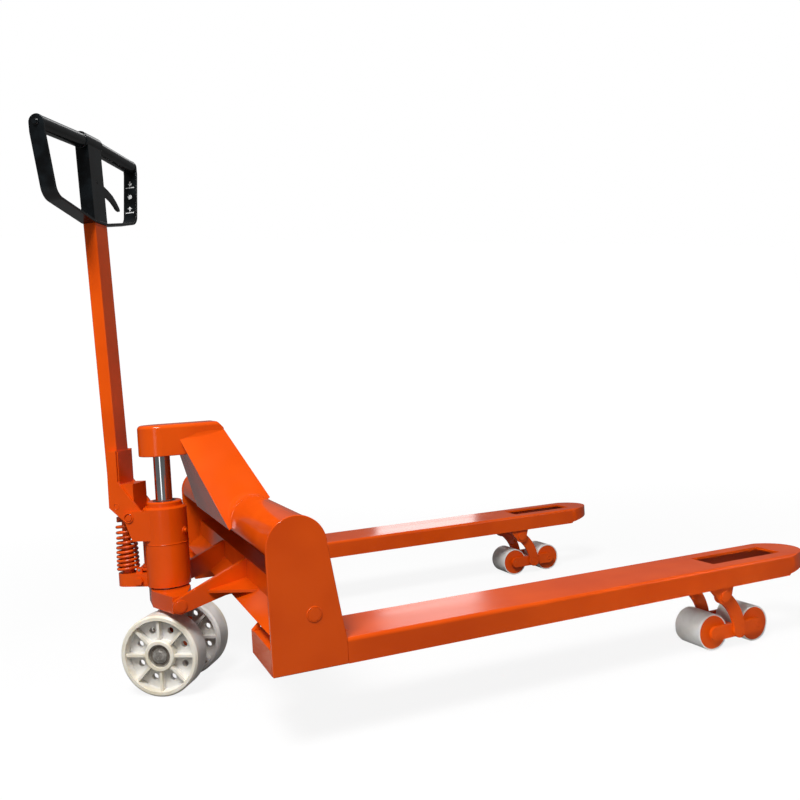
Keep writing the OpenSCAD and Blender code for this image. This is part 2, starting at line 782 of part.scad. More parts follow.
// Helix of the plunger spring: ring centres, then rings of six points each, joined by triangles
spring_z0 = lug_top + spring_wire / 2 + 0.3;
spring_z1 = spring_top - spring_wire / 2 - 0.3;
curl_rings = 8;
wire_sides = 6;
spring_steps = spring_turns * curl_rings;
function helix_at(i) = let (a = 360 * i / curl_rings)
    [spring_r * cos(a), spring_r * sin(a), spring_z0 + (spring_z1 - spring_z0) * i / spring_steps];
function tangent_at(i) = let (a = 360 * i / curl_rings) [-sin(a), cos(a), 0];
function out_at(i) = let (a = 360 * i / curl_rings) [cos(a), sin(a), 0];
spring_path = concat(
    [helix_at(0) - spring_wire * tangent_at(0)], [for (i = [0 : spring_steps]) helix_at(i)],
    [helix_at(spring_steps) + spring_wire * tangent_at(spring_steps)]);
spring_out = concat([out_at(0)], [for (i = [0 : spring_steps]) out_at(i)], [out_at(spring_steps)]);
spring_rings = len(spring_path);
function wire_point(i, j) = let (a = 360 * j / wire_sides, r = spring_wire / 2)
    spring_path[i] + r * cos(a) * spring_out[i] + [0, 0, r * sin(a)];
spring_points = [for (i = [0 : spring_rings - 1]) for (j = [0 : wire_sides - 1]) wire_point(i, j)];
function wire_index(i, j) = i * wire_sides + j % wire_sides;
spring_faces = concat(
    [for (i = [0 : spring_rings - 2]) for (j = [0 : wire_sides - 1]) each [
        [wire_index(i, j), wire_index(i, j + 1), wire_index(i + 1, j)],
        [wire_index(i, j + 1), wire_index(i + 1, j + 1), wire_index(i + 1, j)]]],
    [for (j = [1 : wire_sides - 2]) [wire_index(0, 0), wire_index(0, j + 1), wire_index(0, j)]],
    [for (j = [1 : wire_sides - 2]) [wire_index(spring_rings - 1, 0), wire_index(spring_rings - 1, j),
        wire_index(spring_rings - 1, j + 1)]]);
spring_self_gap = min([for (i = [0 : spring_rings - 1]) for (k = [i + curl_rings - 2 : spring_rings - 1])
    norm(spring_path[i] - spring_path[k])]) - spring_wire;
echo(spring_self_gap_mm = spring_self_gap);

// Coil spring that returns the plunger and holds the handle upright
module plunger_spring() {
    color(ORANGE) steered() translate([-plunger_back, 0, 0]) polyhedron(spring_points, spring_faces);
}

// Dished nylon wheel with a rim, web, hub, ribs and holes on both faces
module steer_wheel(left) {
    r = wheel_d / 2;
    w = wheel_w / 2;
    web = w - dish;
    rim_in = r - rim_t;
    hub = hub_d / 2;
    hole_r = (rim_in + hub) / 2;
    color(NYLON) steered() mirror([0, left ? 1 : 0, 0])
        translate([axle_x, -wheel_y, axle_z]) rotate([-90, 0, 0])
            difference() {
                union() {
                    rotate_extrude() polygon([
                        [bearing_d / 2 + run, -w + 2], [hub - 2, -w + 2], [hub, -w + 4],
                        [hub, -web], [rim_in, -web], [rim_in + 2, -w], [r - 4, -w], [r, -w + 4],
                        [r, w - 4], [r - 4, w], [rim_in + 2, w], [rim_in, web], [hub, web],
                        [hub, w - 4], [hub - 2, w - 2], [bearing_d / 2 + run, w - 2],
                    ]);
                    for (i = [0 : rib_count - 1]) rotate([0, 0, 360 * i / rib_count])
                        translate([hub - 2, -rib_t / 2, -w + 5]) cube([rim_in - hub + 4, rib_t, wheel_w - 10]);
                }
                for (i = [0 : rib_count - 1]) rotate([0, 0, 360 * (i + 0.5) / rib_count])
                    translate([hole_r, 0, -w]) cylinder(d = web_hole_d, h = wheel_w);
            }
}

// Outline of a handle cheek: upright strip beside the tube, widening down to the pivot
module cheek_outline() {
    back = tube_back + 6;
    front = tube_back - 18;
    translate([-pivot_back, pivot_z]) circle(19);
    polygon([
        [-back, base_top], [-front, base_top], [-front, press_z + 56], [-pivot_back + 25, pivot_z + 12],
        [-pivot_back + 8, pivot_z - 17], [-pivot_back - 12, pivot_z - 14], [-back - 1, press_z - 3],
    ]);
}

// Handle base casting: two cheeks joined by a block, hollow below for the plunger
module handle_base() {
    half = base_w / 2;
    color(ORANGE) {
        steered() difference() {
            union() {
                for (y0 = [-half - cheek_t, half]) plate(y0, y0 + cheek_t) cheek_outline();
                plate(-half - 2, half + 2) {
                    translate([-pivot_back, pivot_z]) circle(pivot_pin_d / 2 + 5);
                    translate([-pivot_back - 6, pivot_z]) square([13, press_z + 50 - pivot_z]);
                    translate([-tube_back - 6, press_z + 16]) square([tube_back - pivot_back + 13, 34]);
                }
                translate([-tube_back - 4, -half - 2, press_z + 40])
                    cube([24, 2 * half + 4, base_top - press_z - 42]);
            }
            translate([-tube_back, 0, base_top]) rotate([0, -lean, 0])
                translate([-tube_d / 2, -tube_w / 2, -tube_foot]) cube([tube_d, tube_w, 300]);
            pin(-pivot_back, pivot_z, pivot_pin_d + 2 * run, -100, 100);
            pin(-press_back, press_z, 12, -100, 100);
        }
    }
}

// Rectangular handle tube
module handle_tube() {
    foot = tube_foot;
    color(ORANGE) leaned() translate([0, 0, -foot])
        difference() {
            translate([-tube_d / 2, -tube_w / 2, 0]) cube([tube_d, tube_w, foot + tube_l - strap_t]);
            translate([-tube_d / 2 + tube_wall, -tube_w / 2 + tube_wall, -1])
                cube([tube_d - 2 * tube_wall, tube_w - 2 * tube_wall, foot + tube_l + 2]);
        }
}

// Points along one face of the strap in Y and Z, from the seat on the tube round the corner to the rail
function strap_face(off) = let (
    seat = tube_w / 2 + 2, cy = rail_half - strap_taper - strap_r, cz = tube_l + strap_rise + strap_r,
    knee_z = rail_z - strap_w / 2 - 2, lean_in = atan2(strap_taper, knee_z - cz), r = strap_r + off,
    slope = atan2(cz - tube_l, cy - seat) - asin(strap_r / norm([cz - tube_l, cy - seat])),
    turn = 90 - slope - lean_in,
    arc = [for (i = [0 : 14]) let (a = -90 + slope + turn * i / 14) [cy + r * cos(a), cz + r * sin(a)]])
    concat([[seat + off * tan(slope / 2), tube_l - off]], arc,
        [[rail_half + off, knee_z], [rail_half + off, rail_z]]);
function back_to_front(v) = [for (i = [len(v) - 1 : -1 : 0]) v[i]];
function mirrored(v) = [for (p = v) [-p[0], p[1]]];

// Outline of the whole strap, a wide U whose floor rises to both sides of the tube
module strap_outline() {
    outer = strap_face(strap_t);
    inner = strap_face(0);
    polygon(concat(back_to_front(mirrored(outer)), outer, back_to_front(inner), mirrored(inner)));
}

// Flat strap bent into the open loop below the rail, with round eyes on the rail bolts
module loop_strap() {
    color(BLACK) leaned() difference() {
        union() {
            bar(-strap_w / 2, strap_w / 2) strap_outline();
            both_sides() pin(0, rail_z, strap_w, rail_half, rail_half + strap_t);
        }
        both_sides() pin(0, rail_z, 8, rail_half - 1, rail_half + strap_t + 1);
    }
}

// Grip rail along the top of the loop: two halves that rise to a thicker middle over the post
module grip_rail() {
    color(BLACK) leaned() difference() {
        intersection() {
            union() {
                both_sides() translate([0, 0, rail_top]) rotate([-rail_tilt, 0, 0])
                    pin(0, 0, rail_d, -1, rail_half + 10);
                pin(0, rail_top, rail_d + 5, -tube_w / 2 - 6, tube_w / 2 + 6);
            }
            translate([-rail_d, -rail_half, rail_z - rail_d]) cube([2 * rail_d, rail_l, 3 * rail_d]);
        }
        both_sides() pin(0, rail_z, 8, rail_half - 20, rail_half + 1);
    }
}

// Centre post between the tube and the rail, hollow, with a window for the control lever
module loop_post() {
    wall = 4;
    color(BLACK) leaned() difference() {
        translate([-tube_d / 2 - 1, -tube_w / 2 - 1, tube_l])
            cube([tube_d + 2, tube_w + 2, loop_h + rail_rise - rail_d / 4]);
        translate([-tube_d / 2 + wall - 1, -tube_w / 2 + wall - 1, tube_l + 20])
            cube([tube_d + 2 - 2 * wall, tube_w + 2 - 2 * wall, loop_h - 50]);
        translate([-tube_d / 2 + wall - 1, 0, lever_pivot_z - 30]) cube([tube_d + 2 - 2 * wall, 60, 52]);
        pin(0, rail_top, rail_d + 5, -tube_w, tube_w);
        translate([-50, 0, lever_pivot_z]) rotate([0, 90, 0]) cylinder(d = 8, h = 100);
    }
}

// Bolts through the strap eyes into the ends of the rail
module rail_bolts() {
    color(BLACK) leaned() both_sides() {
        pin(0, rail_z, 8, rail_half - 20, rail_half + strap_t + 1);
        pin(0, rail_z, 14, rail_half + strap_t, rail_half + strap_t + 2);
        pin(0, rail_z, 11, rail_half + strap_t + 2, rail_half + strap_t + 6);
    }
}

// Pin of the pressure roller, between the handle cheeks
module press_roller_pin() {
    half = base_w / 2 + cheek_t;
    color(STEEL) steered() pin(-press_back, press_z, 12, -half, half);
}

// Roller on the handle that pushes the plunger down
module press_roller() {
    color(STEEL) steered() difference() {
        pin(-press_back, press_z, press_d, -15, 15);
        pin(-press_back, press_z, 12 + 2 * run, -16, 16);
    }
}

// Control lever: hub in the post and a blade in a flat S that reaches down towards the left strap
module control_lever() {
    blade_t = 7;
    top_edge = [[0, 9], [0.23, 9], [0.4, 4], [0.58, -3], [0.75, -12], [0.88, -24], [0.97, -35], [1, -41]];
    low_edge = [[0.98, -45], [0.89, -43], [0.8, -35], [0.7, -28], [0.55, -22], [0.36, -17], [0.22, -13],
        [0, -9]];
    color(BLACK) leaned() difference() {
        union() {
            translate([-blade_t / 2, 0, lever_pivot_z]) rotate([0, 90, 0]) cylinder(d = 20, h = blade_t);
            bar(-blade_t / 2, blade_t / 2)
                polygon([for (p = concat(top_edge, low_edge)) [p[0] * lever_l, lever_pivot_z + p[1]]]);
        }
        translate([-tube_d, 0, lever_pivot_z]) rotate([0, 90, 0]) cylinder(d = 8 + 2 * run, h = 2 * tube_d);
    }
}

// Pin of the control lever across the post
module control_lever_pin() {
    color(STEEL) leaned() translate([-tube_d / 2 - 2, 0, lever_pivot_z]) rotate([0, 90, 0])
        cylinder(d = 8, h = tube_d + 4);
}

// Rod from the control lever down to the release lever, with its adjusting nut
module release_rod() {
    color(ORANGE) steered() translate([release_x, 0, 0]) {
        translate([0, 0, lug_top + 2]) cylinder(d = 5, h = 104);
        translate([0, 0, release_z + 3.9]) cylinder(d = 12, h = 8, $fn = 6);
    }
}

// Pin of the release lever in the ears of the pump base
module release_lever_pin() {
    half = release_half + gap + 6;
    color(STEEL) steered() pin(release_pivot_x, release_z, 6, -half, half);
}

// Forked lever on the pump base that opens the release valve
module release_lever() {
    color(ORANGE) steered() difference() {
        plate(-release_half, release_half) {
            translate([release_pivot_x, release_z]) circle(5);
            translate([release_pivot_x, release_z - 3]) square([release_x - release_pivot_x + 7, 6]);
        }
        translate([release_x - 5, -3.1, release_z - 10]) cube([30, 6.2, 20]);
        pin(release_pivot_x, release_z, 6 + 2 * run, -50, 50);
    }
}

// One lift arm, deepening from the yoke pin to the beam, with a blind slot for the pin and a gusset
module lift_arm() {
    inner = lift_arm_gap / 2;
    outer = inner + lift_arm_t;
    r = lift_arm_h / 2;
    slot = yoke_pin_d / 2 + 1.5;
    least = rocker_x - yoke_pin_x;
    weld = beam_back + beam_wall / 2;
    difference() {
        union() {
            plate(-outer, -inner) {
                translate([yoke_pin_x, yoke_pin_z]) circle(r);
                polygon([
                    [yoke_pin_x + 1, yoke_pin_z - r + 0.1], [beam_x0 - 10, beam_z0 + 10],
                    [beam_back - 8, beam_z0 + 14], [weld, beam_z0 + 20],
                    [weld, beam_z0 + beam_h - 2], [beam_back - 2, beam_z0 + beam_h - 2],
                    [yoke_pin_x - 4, yoke_pin_z + r - 0.6],
                ]);
            }
            pin(yoke_pin_x, yoke_pin_z, 26, -outer - 2, -outer + 1);
        }
        plate(-outer + 4, -inner + 1) translate([rocker_x, rocker_z]) rotate(lift_arm_angle + 180)
            link_outline(least - 1, 0, lift_arm_l + 2.5, 0, slot);
    }
    gusset_z = beam_knee + 1;
    intersection() {
        plate(-outer - gusset_l, -outer + 1) polygon([
            [weld, gusset_z - 6], [weld, gusset_z],
            [yoke_pin_x + 58, gusset_z - 18], [yoke_pin_x + 58, gusset_z - 24],
        ]);
        translate([0, 0, beam_z0]) linear_extrude(beam_h) polygon([
            [yoke_pin_x + 60, -outer + 1], [weld, -outer + 1],
            [weld, -outer - gusset_l], [beam_back - 4, -outer - gusset_l],
        ]);
    }
}

// Section of the torsion beam drawn inside its plates by t, with a sloping rear foot
module beam_section(t) {
    polygon([
        [beam_x0 + 2.1 * t, beam_z0 + 14 + 0.3 * t], [beam_x0 + 36 + 0.2 * t, beam_z0 + t],
        [beam_x1 - t, beam_z0 + t],
        [beam_x1 - t, beam_z0 + beam_h - 6 - 0.9 * t], [beam_back + 1 + t, beam_z0 + beam_h - 1.1 * t],
        [beam_back - 1 + t, beam_knee - 0.5 * t],
    ]);
}

// Crank lever that hangs from the beam into the fork and works a push rod
module crank() {
    difference() {
        plate(-fork_y - crank_t / 2, -fork_y + crank_t / 2)
            link_outline(rocker_x, rocker_z - 10, crank_x, crank_z, crank_pin_d / 2 + 7);
        translate([0, -side_y, beam_z0 + beam_wall / 2]) cube([2 * rocker_x, side_y, 2 * beam_h]);
    }
    pin(crank_x, crank_z, crank_pin_d, -fork_y - crank_t / 2 - 8, -fork_y + crank_t / 2 + 8);
}

// Rocker weldment: lift arms, hollow torsion beam with end bosses, gussets and crank levers
module rocker() {
    beam_half = side_y - side_t - 22;
    bush_d = rocker_pin_d + 2 * bush_wall;
    color(ORANGE) centred() difference() {
        union() {
            both_sides() {
                lift_arm();
                crank();
                pin(rocker_x, rocker_z, 2 * boss_r, -side_y + side_t + 2, -side_y + side_t + 30);
            }
            difference() {
                plate(-beam_half, beam_half) beam_section(0);
                plate(-beam_half + 12, beam_half - 12) beam_section(beam_wall);
            }
        }
        both_sides() pin(rocker_x, rocker_z, bush_d, -side_y, -side_y + side_t + 27);
    }
}

// Bushes in the rocker bosses that run on the pivot pins
module rocker_bushes() {
    color(STEEL) centred() both_sides() difference() {
        pin(rocker_x, rocker_z, rocker_pin_d + 2 * bush_wall, -side_y + side_t + 0.3, -side_y + side_t + 27);
        pin(rocker_x, rocker_z, rocker_pin_d + 2 * run, -side_y, -side_y + side_t + 30);
    }
}

// Push rod in a fork, with a forked rear end on the crank and a slotted eye on the roller arm's bar
module push_rod(left) {
    rear = crank_pin_d / 2 + 10;
    rear_half = crank_t / 2 + 7.5;
    front = lever_bar_d / 2 + 6;
    crank_low = rocker_z - crank_r;
    lever_high = arm_pivot_z + lever_r;
    color(ORANGE) on_side(left) translate([0, -fork_y, 0]) difference() {
        union() {
            translate([crank_x + 20, 0, rod_z]) rotate([0, 90, 0])
                cylinder(d = rod_d, h = lever_x - crank_x - 30);
            translate([crank_x - rear, -rear_half, crank_low - rear])
                cube([rear + 44, 2 * rear_half, crank_z - crank_low + 2 * rear]);
            plate(-12, 12) {
                link_outline(lever_x, lever_z, lever_x, lever_high, front);
                translate([lever_x - 30, rod_z - rod_d / 2]) square([30, rod_d]);
            }
        }
        translate([crank_x - rear - 1, -crank_t / 2 - 0.6, 0]) cube([rear + 26, crank_t + 1.2, 400]);
        upright_slot(crank_x, crank_low, crank_z, crank_pin_d + 1.4, -40, 40);
        upright_slot(lever_x, lever_z, lever_high, lever_bar_d + 2, -40, 40);
    }
}

// Curved outline of a roller arm from its pivot down to the bogie pin, with its lever
module roller_arm_outline() {
    r = (roller_arm_l * roller_arm_l / 4 + arm_bow * arm_bow) / (2 * arm_bow);
    half_angle = asin(roller_arm_l / 2 / r);
    mid = [(arm_pivot_x + bogie_x) / 2, (arm_pivot_z + bogie_z) / 2];
    out = 90 - arm_up;
    centre = mid - (r - arm_bow) * [cos(out), sin(out)];
    h = roller_arm_h / 2;
    difference() {
        translate(centre) circle(r + h, $fn = 128);
        translate(centre) circle(r - h, $fn = 128);
        translate(centre) rotate(out + half_angle) translate([-2 * r, 0]) square([4 * r, 4 * r]);
        translate(centre) rotate(out - half_angle) translate([-2 * r, -4 * r]) square([4 * r, 4 * r]);
    }
    translate([arm_pivot_x, arm_pivot_z]) circle(h + 3);
    translate([bogie_x, bogie_z]) circle(h + 2);
    link_outline(arm_pivot_x, arm_pivot_z, lever_x, lever_z, lever_bar_d / 2 + 6);
}

// Roller arm: two bent plates joined by a bar across their levers
module roller_arm(left) {
    color(ORANGE) on_side(left) translate([0, -fork_y, 0]) {
        difference() {
            for (y0 = [-arm_out, arm_out - link_t]) plate(y0, y0 + link_t) roller_arm_outline();
            pin(arm_pivot_x, arm_pivot_z, stub_d + 2 * run, -100, 100);
            pin(bogie_x, bogie_z, stub_d + 2 * run, -100, 100);
        }
        pin(lever_x, lever_z, lever_bar_d, -arm_out + 1, arm_out - 1);
    }
}

// Pin through a roller arm and its bogie
module bogie_pin(left) {
    color(STEEL) on_side(left) translate([0, -fork_y, 0]) pin(bogie_x, bogie_z, stub_d, -arm_out, arm_out);
}

// Bogie link plates that carry two rollers
module bogie(left) {
    a = roller_pitch / 2;
    color(ORANGE) on_side(left) translate([0, -fork_y, 0]) difference() {
        for (y0 = [-bogie_out, bogie_out - link_t]) plate(y0, y0 + link_t)
            link_outline(bogie_x - a, bogie_z, bogie_x + a, bogie_z, bogie_h / 2);
        pin(bogie_x, bogie_z, stub_d + 2 * run, -100, 100);
        for (s = [-1, 1]) pin(bogie_x + s * a, bogie_z, roller_axle_d, -100, 100);
    }
}

// Axles of the two rollers of a bogie
module roller_axles(left) {
    color(STEEL) on_side(left) translate([0, -fork_y, 0]) for (s = [-1, 1])
        pin(bogie_x + s * roller_pitch / 2, bogie_z, roller_axle_d, -bogie_out, bogie_out);
}

// Nylon load roller with painted steel end discs, turning on its axle
module load_roller(left, s) {
    half = roller_w / 2;
    r = roller_d / 2;
    color(PALE) on_side(left) translate([bogie_x + s * roller_pitch / 2, -fork_y, bogie_z]) rotate([90, 0, 0])
        rotate_extrude() polygon([
            [roller_axle_d / 2 + run, -half], [r - 2, -half], [r, -half + 2], [r, half - 2], [r - 2, half],
            [roller_axle_d / 2 + run, half],
        ]);
}

fork(false);  // fork_right
fork(true);  // fork_left
side_plate(false);  // side_plate_right
side_plate(true);  // side_plate_left
cross_cover();
gooseneck();
lift_head();
ram();
rocker_pivot_pins();
roller_arm_pins();
yoke();
yoke_pins();
thrust_bearing();
pump_base();
pump_jacket();
gland_nut();
wiper_seal();
axle_carrier();
steer_axle();
axle_circlips();
wheel_bearings();
bleed_screw();
base_plug();
handle_pivot_pin();
release_lever_pin();
plunger_spring();
plunger();
steer_wheel(false);  // steer_wheel_right
steer_wheel(true);  // steer_wheel_left
handle_base();
handle_tube();
loop_strap();
grip_rail();
loop_post();
rail_bolts();
press_roller_pin();
press_roller();
control_lever();
control_lever_pin();
release_rod();
release_lever();
rocker();
rocker_bushes();
push_rod(false);  // push_rod_right
push_rod(true);  // push_rod_left
roller_arm(false);  // roller_arm_right
roller_arm(true);  // roller_arm_left
bogie_pin(false);  // bogie_pin_right
bogie_pin(true);  // bogie_pin_left
bogie(false);  // bogie_right
bogie(true);  // bogie_left
roller_axles(false);  // roller_axles_right
roller_axles(true);  // roller_axles_left
load_roller(false, -1);  // load_roller_right_rear
load_roller(false, 1);  // load_roller_right_front
load_roller(true, -1);  // load_roller_left_rear
load_roller(true, 1);  // load_roller_left_front
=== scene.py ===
"""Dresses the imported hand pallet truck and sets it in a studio.

Steel edges are softened, welds, rings and a coil spring are added, and each piece gets its enamel, nylon or metal.
"""

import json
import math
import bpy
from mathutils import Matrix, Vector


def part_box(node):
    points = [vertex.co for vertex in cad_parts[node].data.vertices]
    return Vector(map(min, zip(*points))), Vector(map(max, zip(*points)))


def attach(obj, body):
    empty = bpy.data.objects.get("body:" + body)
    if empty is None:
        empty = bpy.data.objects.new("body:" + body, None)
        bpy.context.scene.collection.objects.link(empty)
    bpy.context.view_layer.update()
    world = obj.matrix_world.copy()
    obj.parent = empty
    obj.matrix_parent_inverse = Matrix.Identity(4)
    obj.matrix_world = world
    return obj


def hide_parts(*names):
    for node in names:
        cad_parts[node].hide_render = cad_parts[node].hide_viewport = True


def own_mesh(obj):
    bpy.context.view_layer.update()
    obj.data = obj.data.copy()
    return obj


bl_info = {
    "name": "Hand Pallet Truck Looks",
    "version": (1, 0, 0),
    "blender": (4, 5, 0),
    "location": "3D View > Sidebar > Pallet Truck",
    "description": "Builds the looks of a manual hydraulic pallet truck on its packed frame",
    "category": "Object",
}

import bmesh
import bpy
import numpy as np
from mathutils import Matrix, Vector

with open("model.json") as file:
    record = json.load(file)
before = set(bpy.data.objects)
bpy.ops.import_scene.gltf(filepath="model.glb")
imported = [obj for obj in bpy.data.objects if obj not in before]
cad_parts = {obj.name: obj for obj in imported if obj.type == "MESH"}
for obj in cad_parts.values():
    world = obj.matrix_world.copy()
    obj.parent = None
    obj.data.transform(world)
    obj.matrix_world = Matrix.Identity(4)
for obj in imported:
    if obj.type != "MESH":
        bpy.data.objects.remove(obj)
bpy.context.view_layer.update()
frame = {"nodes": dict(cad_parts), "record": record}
JOINTS = {j["name"]: j for j in frame["record"]["behaviour"]["joints"]}
AXIS_X = JOINTS["steer"]["pos_m"][0]
MM = 0.001

# Turn of the steered front end at rest, read off the wheel axle's direction
AXLE = np.array(JOINTS["steer_wheel_right_spin"]["axis"], float)
STEER = -math.atan2(AXLE[0], AXLE[1])

# Sizes of the CAD that the nodes' boxes don't give, in metres
HEEL_R = 0.058  # round top of a side plate
COVER_R = 0.056  # outside of the cross cover
HEAD_HALF = 0.050  # half the width of the lift head
ARM_FACE = 0.136  # outer face of a lift arm, from the middle of the truck
BARREL_R = 0.049  # pump barrel
ROLLER_BORE = 0.0078  # bore of a load roller

# The handle is drawn upright from the top of its base, in millimetres, and then leaned back
TUBE_BACK = 111  # handle tube behind the steering axis
BASE_TOP = 548  # top of the handle base
LEAN = math.radians(1.7)
STRAP_FOOT = (172.5, 577.1)  # foot of the left strap's inner face: sideways and up
STRAP_RISE = (20.5, 109.4)  # direction of that face

# The truck's right lies at -y and its left at +y
SIDES = (("right", -1), ("left", 1))

# Fineness of the meshes
SHARP = math.radians(32)  # edges that turn by more are rounded
FLAT = math.radians(0.6)  # faces that turn by less are merged
WELD_SIDES = 10  # sides of the round section of a bead or ring
FILLET_POINTS = 8  # points across the hollow of a fillet
ROUND_STEPS = 72  # steps round a roller or ring
RING_GAP = 0.0012  # middle of a weld ring beyond the edge of its pin


class EnamelSettings(bpy.types.PropertyGroup):
    """Colours of the painted, plated and moulded finishes."""

    orange: bpy.props.StringProperty(
        name="Orange enamel", description="sRGB hex colour of the orange enamel", default="E2530A")
    orange_deep: bpy.props.StringProperty(
        name="Deep orange", description="sRGB hex colour where the enamel lies thick", default="D64A06")
    black: bpy.props.StringProperty(
        name="Black enamel", description="sRGB hex colour of the hand loop", default="08090A")
    ivory: bpy.props.StringProperty(
        name="Ivory nylon", description="sRGB hex colour of the steer wheels", default="F4EEE1")
    # Painted shade: the grey given to the wheels' web and tread in place of the shade that falls there
    painted_web_shade: bpy.props.StringProperty(
        name="Shaded nylon", description="sRGB hex colour of the wheels' tread and web", default="E6E4E0")
    roller_grey: bpy.props.StringProperty(
        name="Roller nylon", description="sRGB hex colour of the load rollers", default="F0F0EC")


class EdgeSettings(bpy.types.PropertyGroup):
    """Roundings left by pressing, casting and grinding."""

    sheet: bpy.props.FloatProperty(
        name="Sheet edge", description="Rounding along cut sheet edges", default=0.0012, min=0.0002, max=0.004,
        unit="LENGTH")
    casting: bpy.props.FloatProperty(
        name="Casting edge", description="Rounding along the edges of castings", default=0.0022, min=0.0005,
        max=0.006, unit="LENGTH")
    moulding: bpy.props.FloatProperty(
        name="Moulding edge", description="Rounding along the edges of nylon mouldings", default=0.0014, min=0.0004,
        max=0.004, unit="LENGTH")


class WeldSettings(bpy.types.PropertyGroup):
    """Size of the weld beads."""

    radius: bpy.props.FloatProperty(
        name="Bead radius", description="Radius of a weld bead", default=0.0045, min=0.002, max=0.008, unit="LENGTH")
    ripple: bpy.props.FloatProperty(
        name="Ripple pitch", description="Distance between the ripples of a bead", default=0.006, min=0.002,
        max=0.015, unit="LENGTH")


class SpringSettings(bpy.types.PropertyGroup):
    """The coil spring round the pump plunger."""

    turns: bpy.props.FloatProperty(
        name="Turns", description="Number of turns of the plunger spring", default=10.5, min=6, max=14)
    wire: bpy.props.FloatProperty(
        name="Wire", description="Wire diameter of the plunger spring", default=0.007, min=0.003, max=0.008,
        unit="LENGTH")


class StageSettings(bpy.types.PropertyGroup):
    """Camera and light of the studio."""

    lens: bpy.props.FloatProperty(
        name="Lens", description="Focal length on a 36 mm sensor", default=36.74, min=20, max=120)
    key_power: bpy.props.FloatProperty(
        name="Key light", description="Power of the key softbox", default=158.0, min=0, subtype="POWER")
    fill_power: bpy.props.FloatProperty(
        name="Fill light", description="Power of the fill softbox", default=2.5, min=0, subtype="POWER")
    rim_power: bpy.props.FloatProperty(
        name="Back light", description="Power of the strip behind the truck", default=3.8, min=0, subtype="POWER")
    top_power: bpy.props.FloatProperty(
        name="Top light", description="Power of the small light above and behind the hand loop", default=3.0, min=0,
        subtype="POWER")
    window_power: bpy.props.FloatProperty(
        name="Window light", description="Power of the tall strip beside the camera", default=3.2, min=0,
        subtype="POWER")
    low_power: bpy.props.FloatProperty(
        name="Low light", description="Power of the narrow light on the load rollers", default=0.22, min=0,
        subtype="POWER")
    sky: bpy.props.FloatProperty(
        name="Room light", description="Strength of the even light from the room", default=0.3, min=0, max=2)


class TruckLooks(bpy.types.PropertyGroup):
    """Sizes and colours of the pallet truck's looks."""

    enamel: bpy.props.PointerProperty(type=EnamelSettings)
    edges: bpy.props.PointerProperty(type=EdgeSettings)
    welds: bpy.props.PointerProperty(type=WeldSettings)
    spring: bpy.props.PointerProperty(type=SpringSettings)
    stage: bpy.props.PointerProperty(type=StageSettings)


def looks():
    """The settings of this scene."""
    return bpy.context.scene.truck_looks


# Frames of the truck


def from_axis(x, y, z):
    """Point given in millimetres from the steering axis, in the truck's frame in metres."""
    return np.stack(np.broadcast_arrays(AXIS_X + np.asarray(x) * MM, np.asarray(y) * MM, np.asarray(z) * MM), -1)


def from_front(x, y, z):
    """Point given in millimetres in the steered front end, turned about the steering axis."""
    x, y = np.asarray(x, float), np.asarray(y, float)
    c, s = math.cos(STEER), math.sin(STEER)
    return from_axis(x * c - y * s, x * s + y * c, z)


# Materials


SOFT = {"interpolation_type": "SMOOTHSTEP"}
COLOUR = {"data_type": "RGBA"}


def linear(hex_colour):
    """Linear RGBA of an sRGB hex colour."""
    v = np.array([int(hex_colour[i:i + 2], 16) for i in (0, 2, 4)]) / 255
    lin = np.where(v <= 0.04045, v / 12.92, ((v + 0.055) / 1.055) ** 2.4)
    return (*lin, 1.0)


def add(tree, kind, settings=None, inputs=None):
    """Adds a shader node with its settings; an input takes a value, or a socket to link from. Gives its output."""
    node = tree.nodes.new("ShaderNode" + kind)
    for key, value in (settings or {}).items():
        setattr(node, key, value)
    for key, value in (inputs or {}).items():
        socket = next(s for s in node.inputs if s.enabled and key in (s.identifier, s.name))
        if isinstance(value, bpy.types.NodeSocket):
            tree.links.new(value, socket)
        else:
            socket.default_value = value
    return next((s for s in node.outputs if s.enabled), None)


def start(name):
    """New material, its empty node tree and the Object coordinates that its patterns follow."""
    m = bpy.data.materials.new(name)
    m.use_nodes = True
    m.node_tree.nodes.clear()
    return m, m.node_tree, add(m.node_tree, "TexCoord").node.outputs["Object"]


def close(m, **sockets):
    """Ends a material with its Principled shader; sockets are named in lower case with underscores."""
    inputs = {}
    names = ("Base Color", "Roughness", "Metallic", "IOR", "Specular IOR Level", "Normal", "Subsurface Weight",
             "Subsurface Radius", "Subsurface Scale", "Emission Color", "Emission Strength")
    for name in names:
        if name.lower().replace(" ", "_") in sockets:
            inputs[name] = sockets[name.lower().replace(" ", "_")]
    add(m.node_tree, "OutputMaterial", None, {"Surface": add(m.node_tree, "BsdfPrincipled", None, inputs)})
    return m


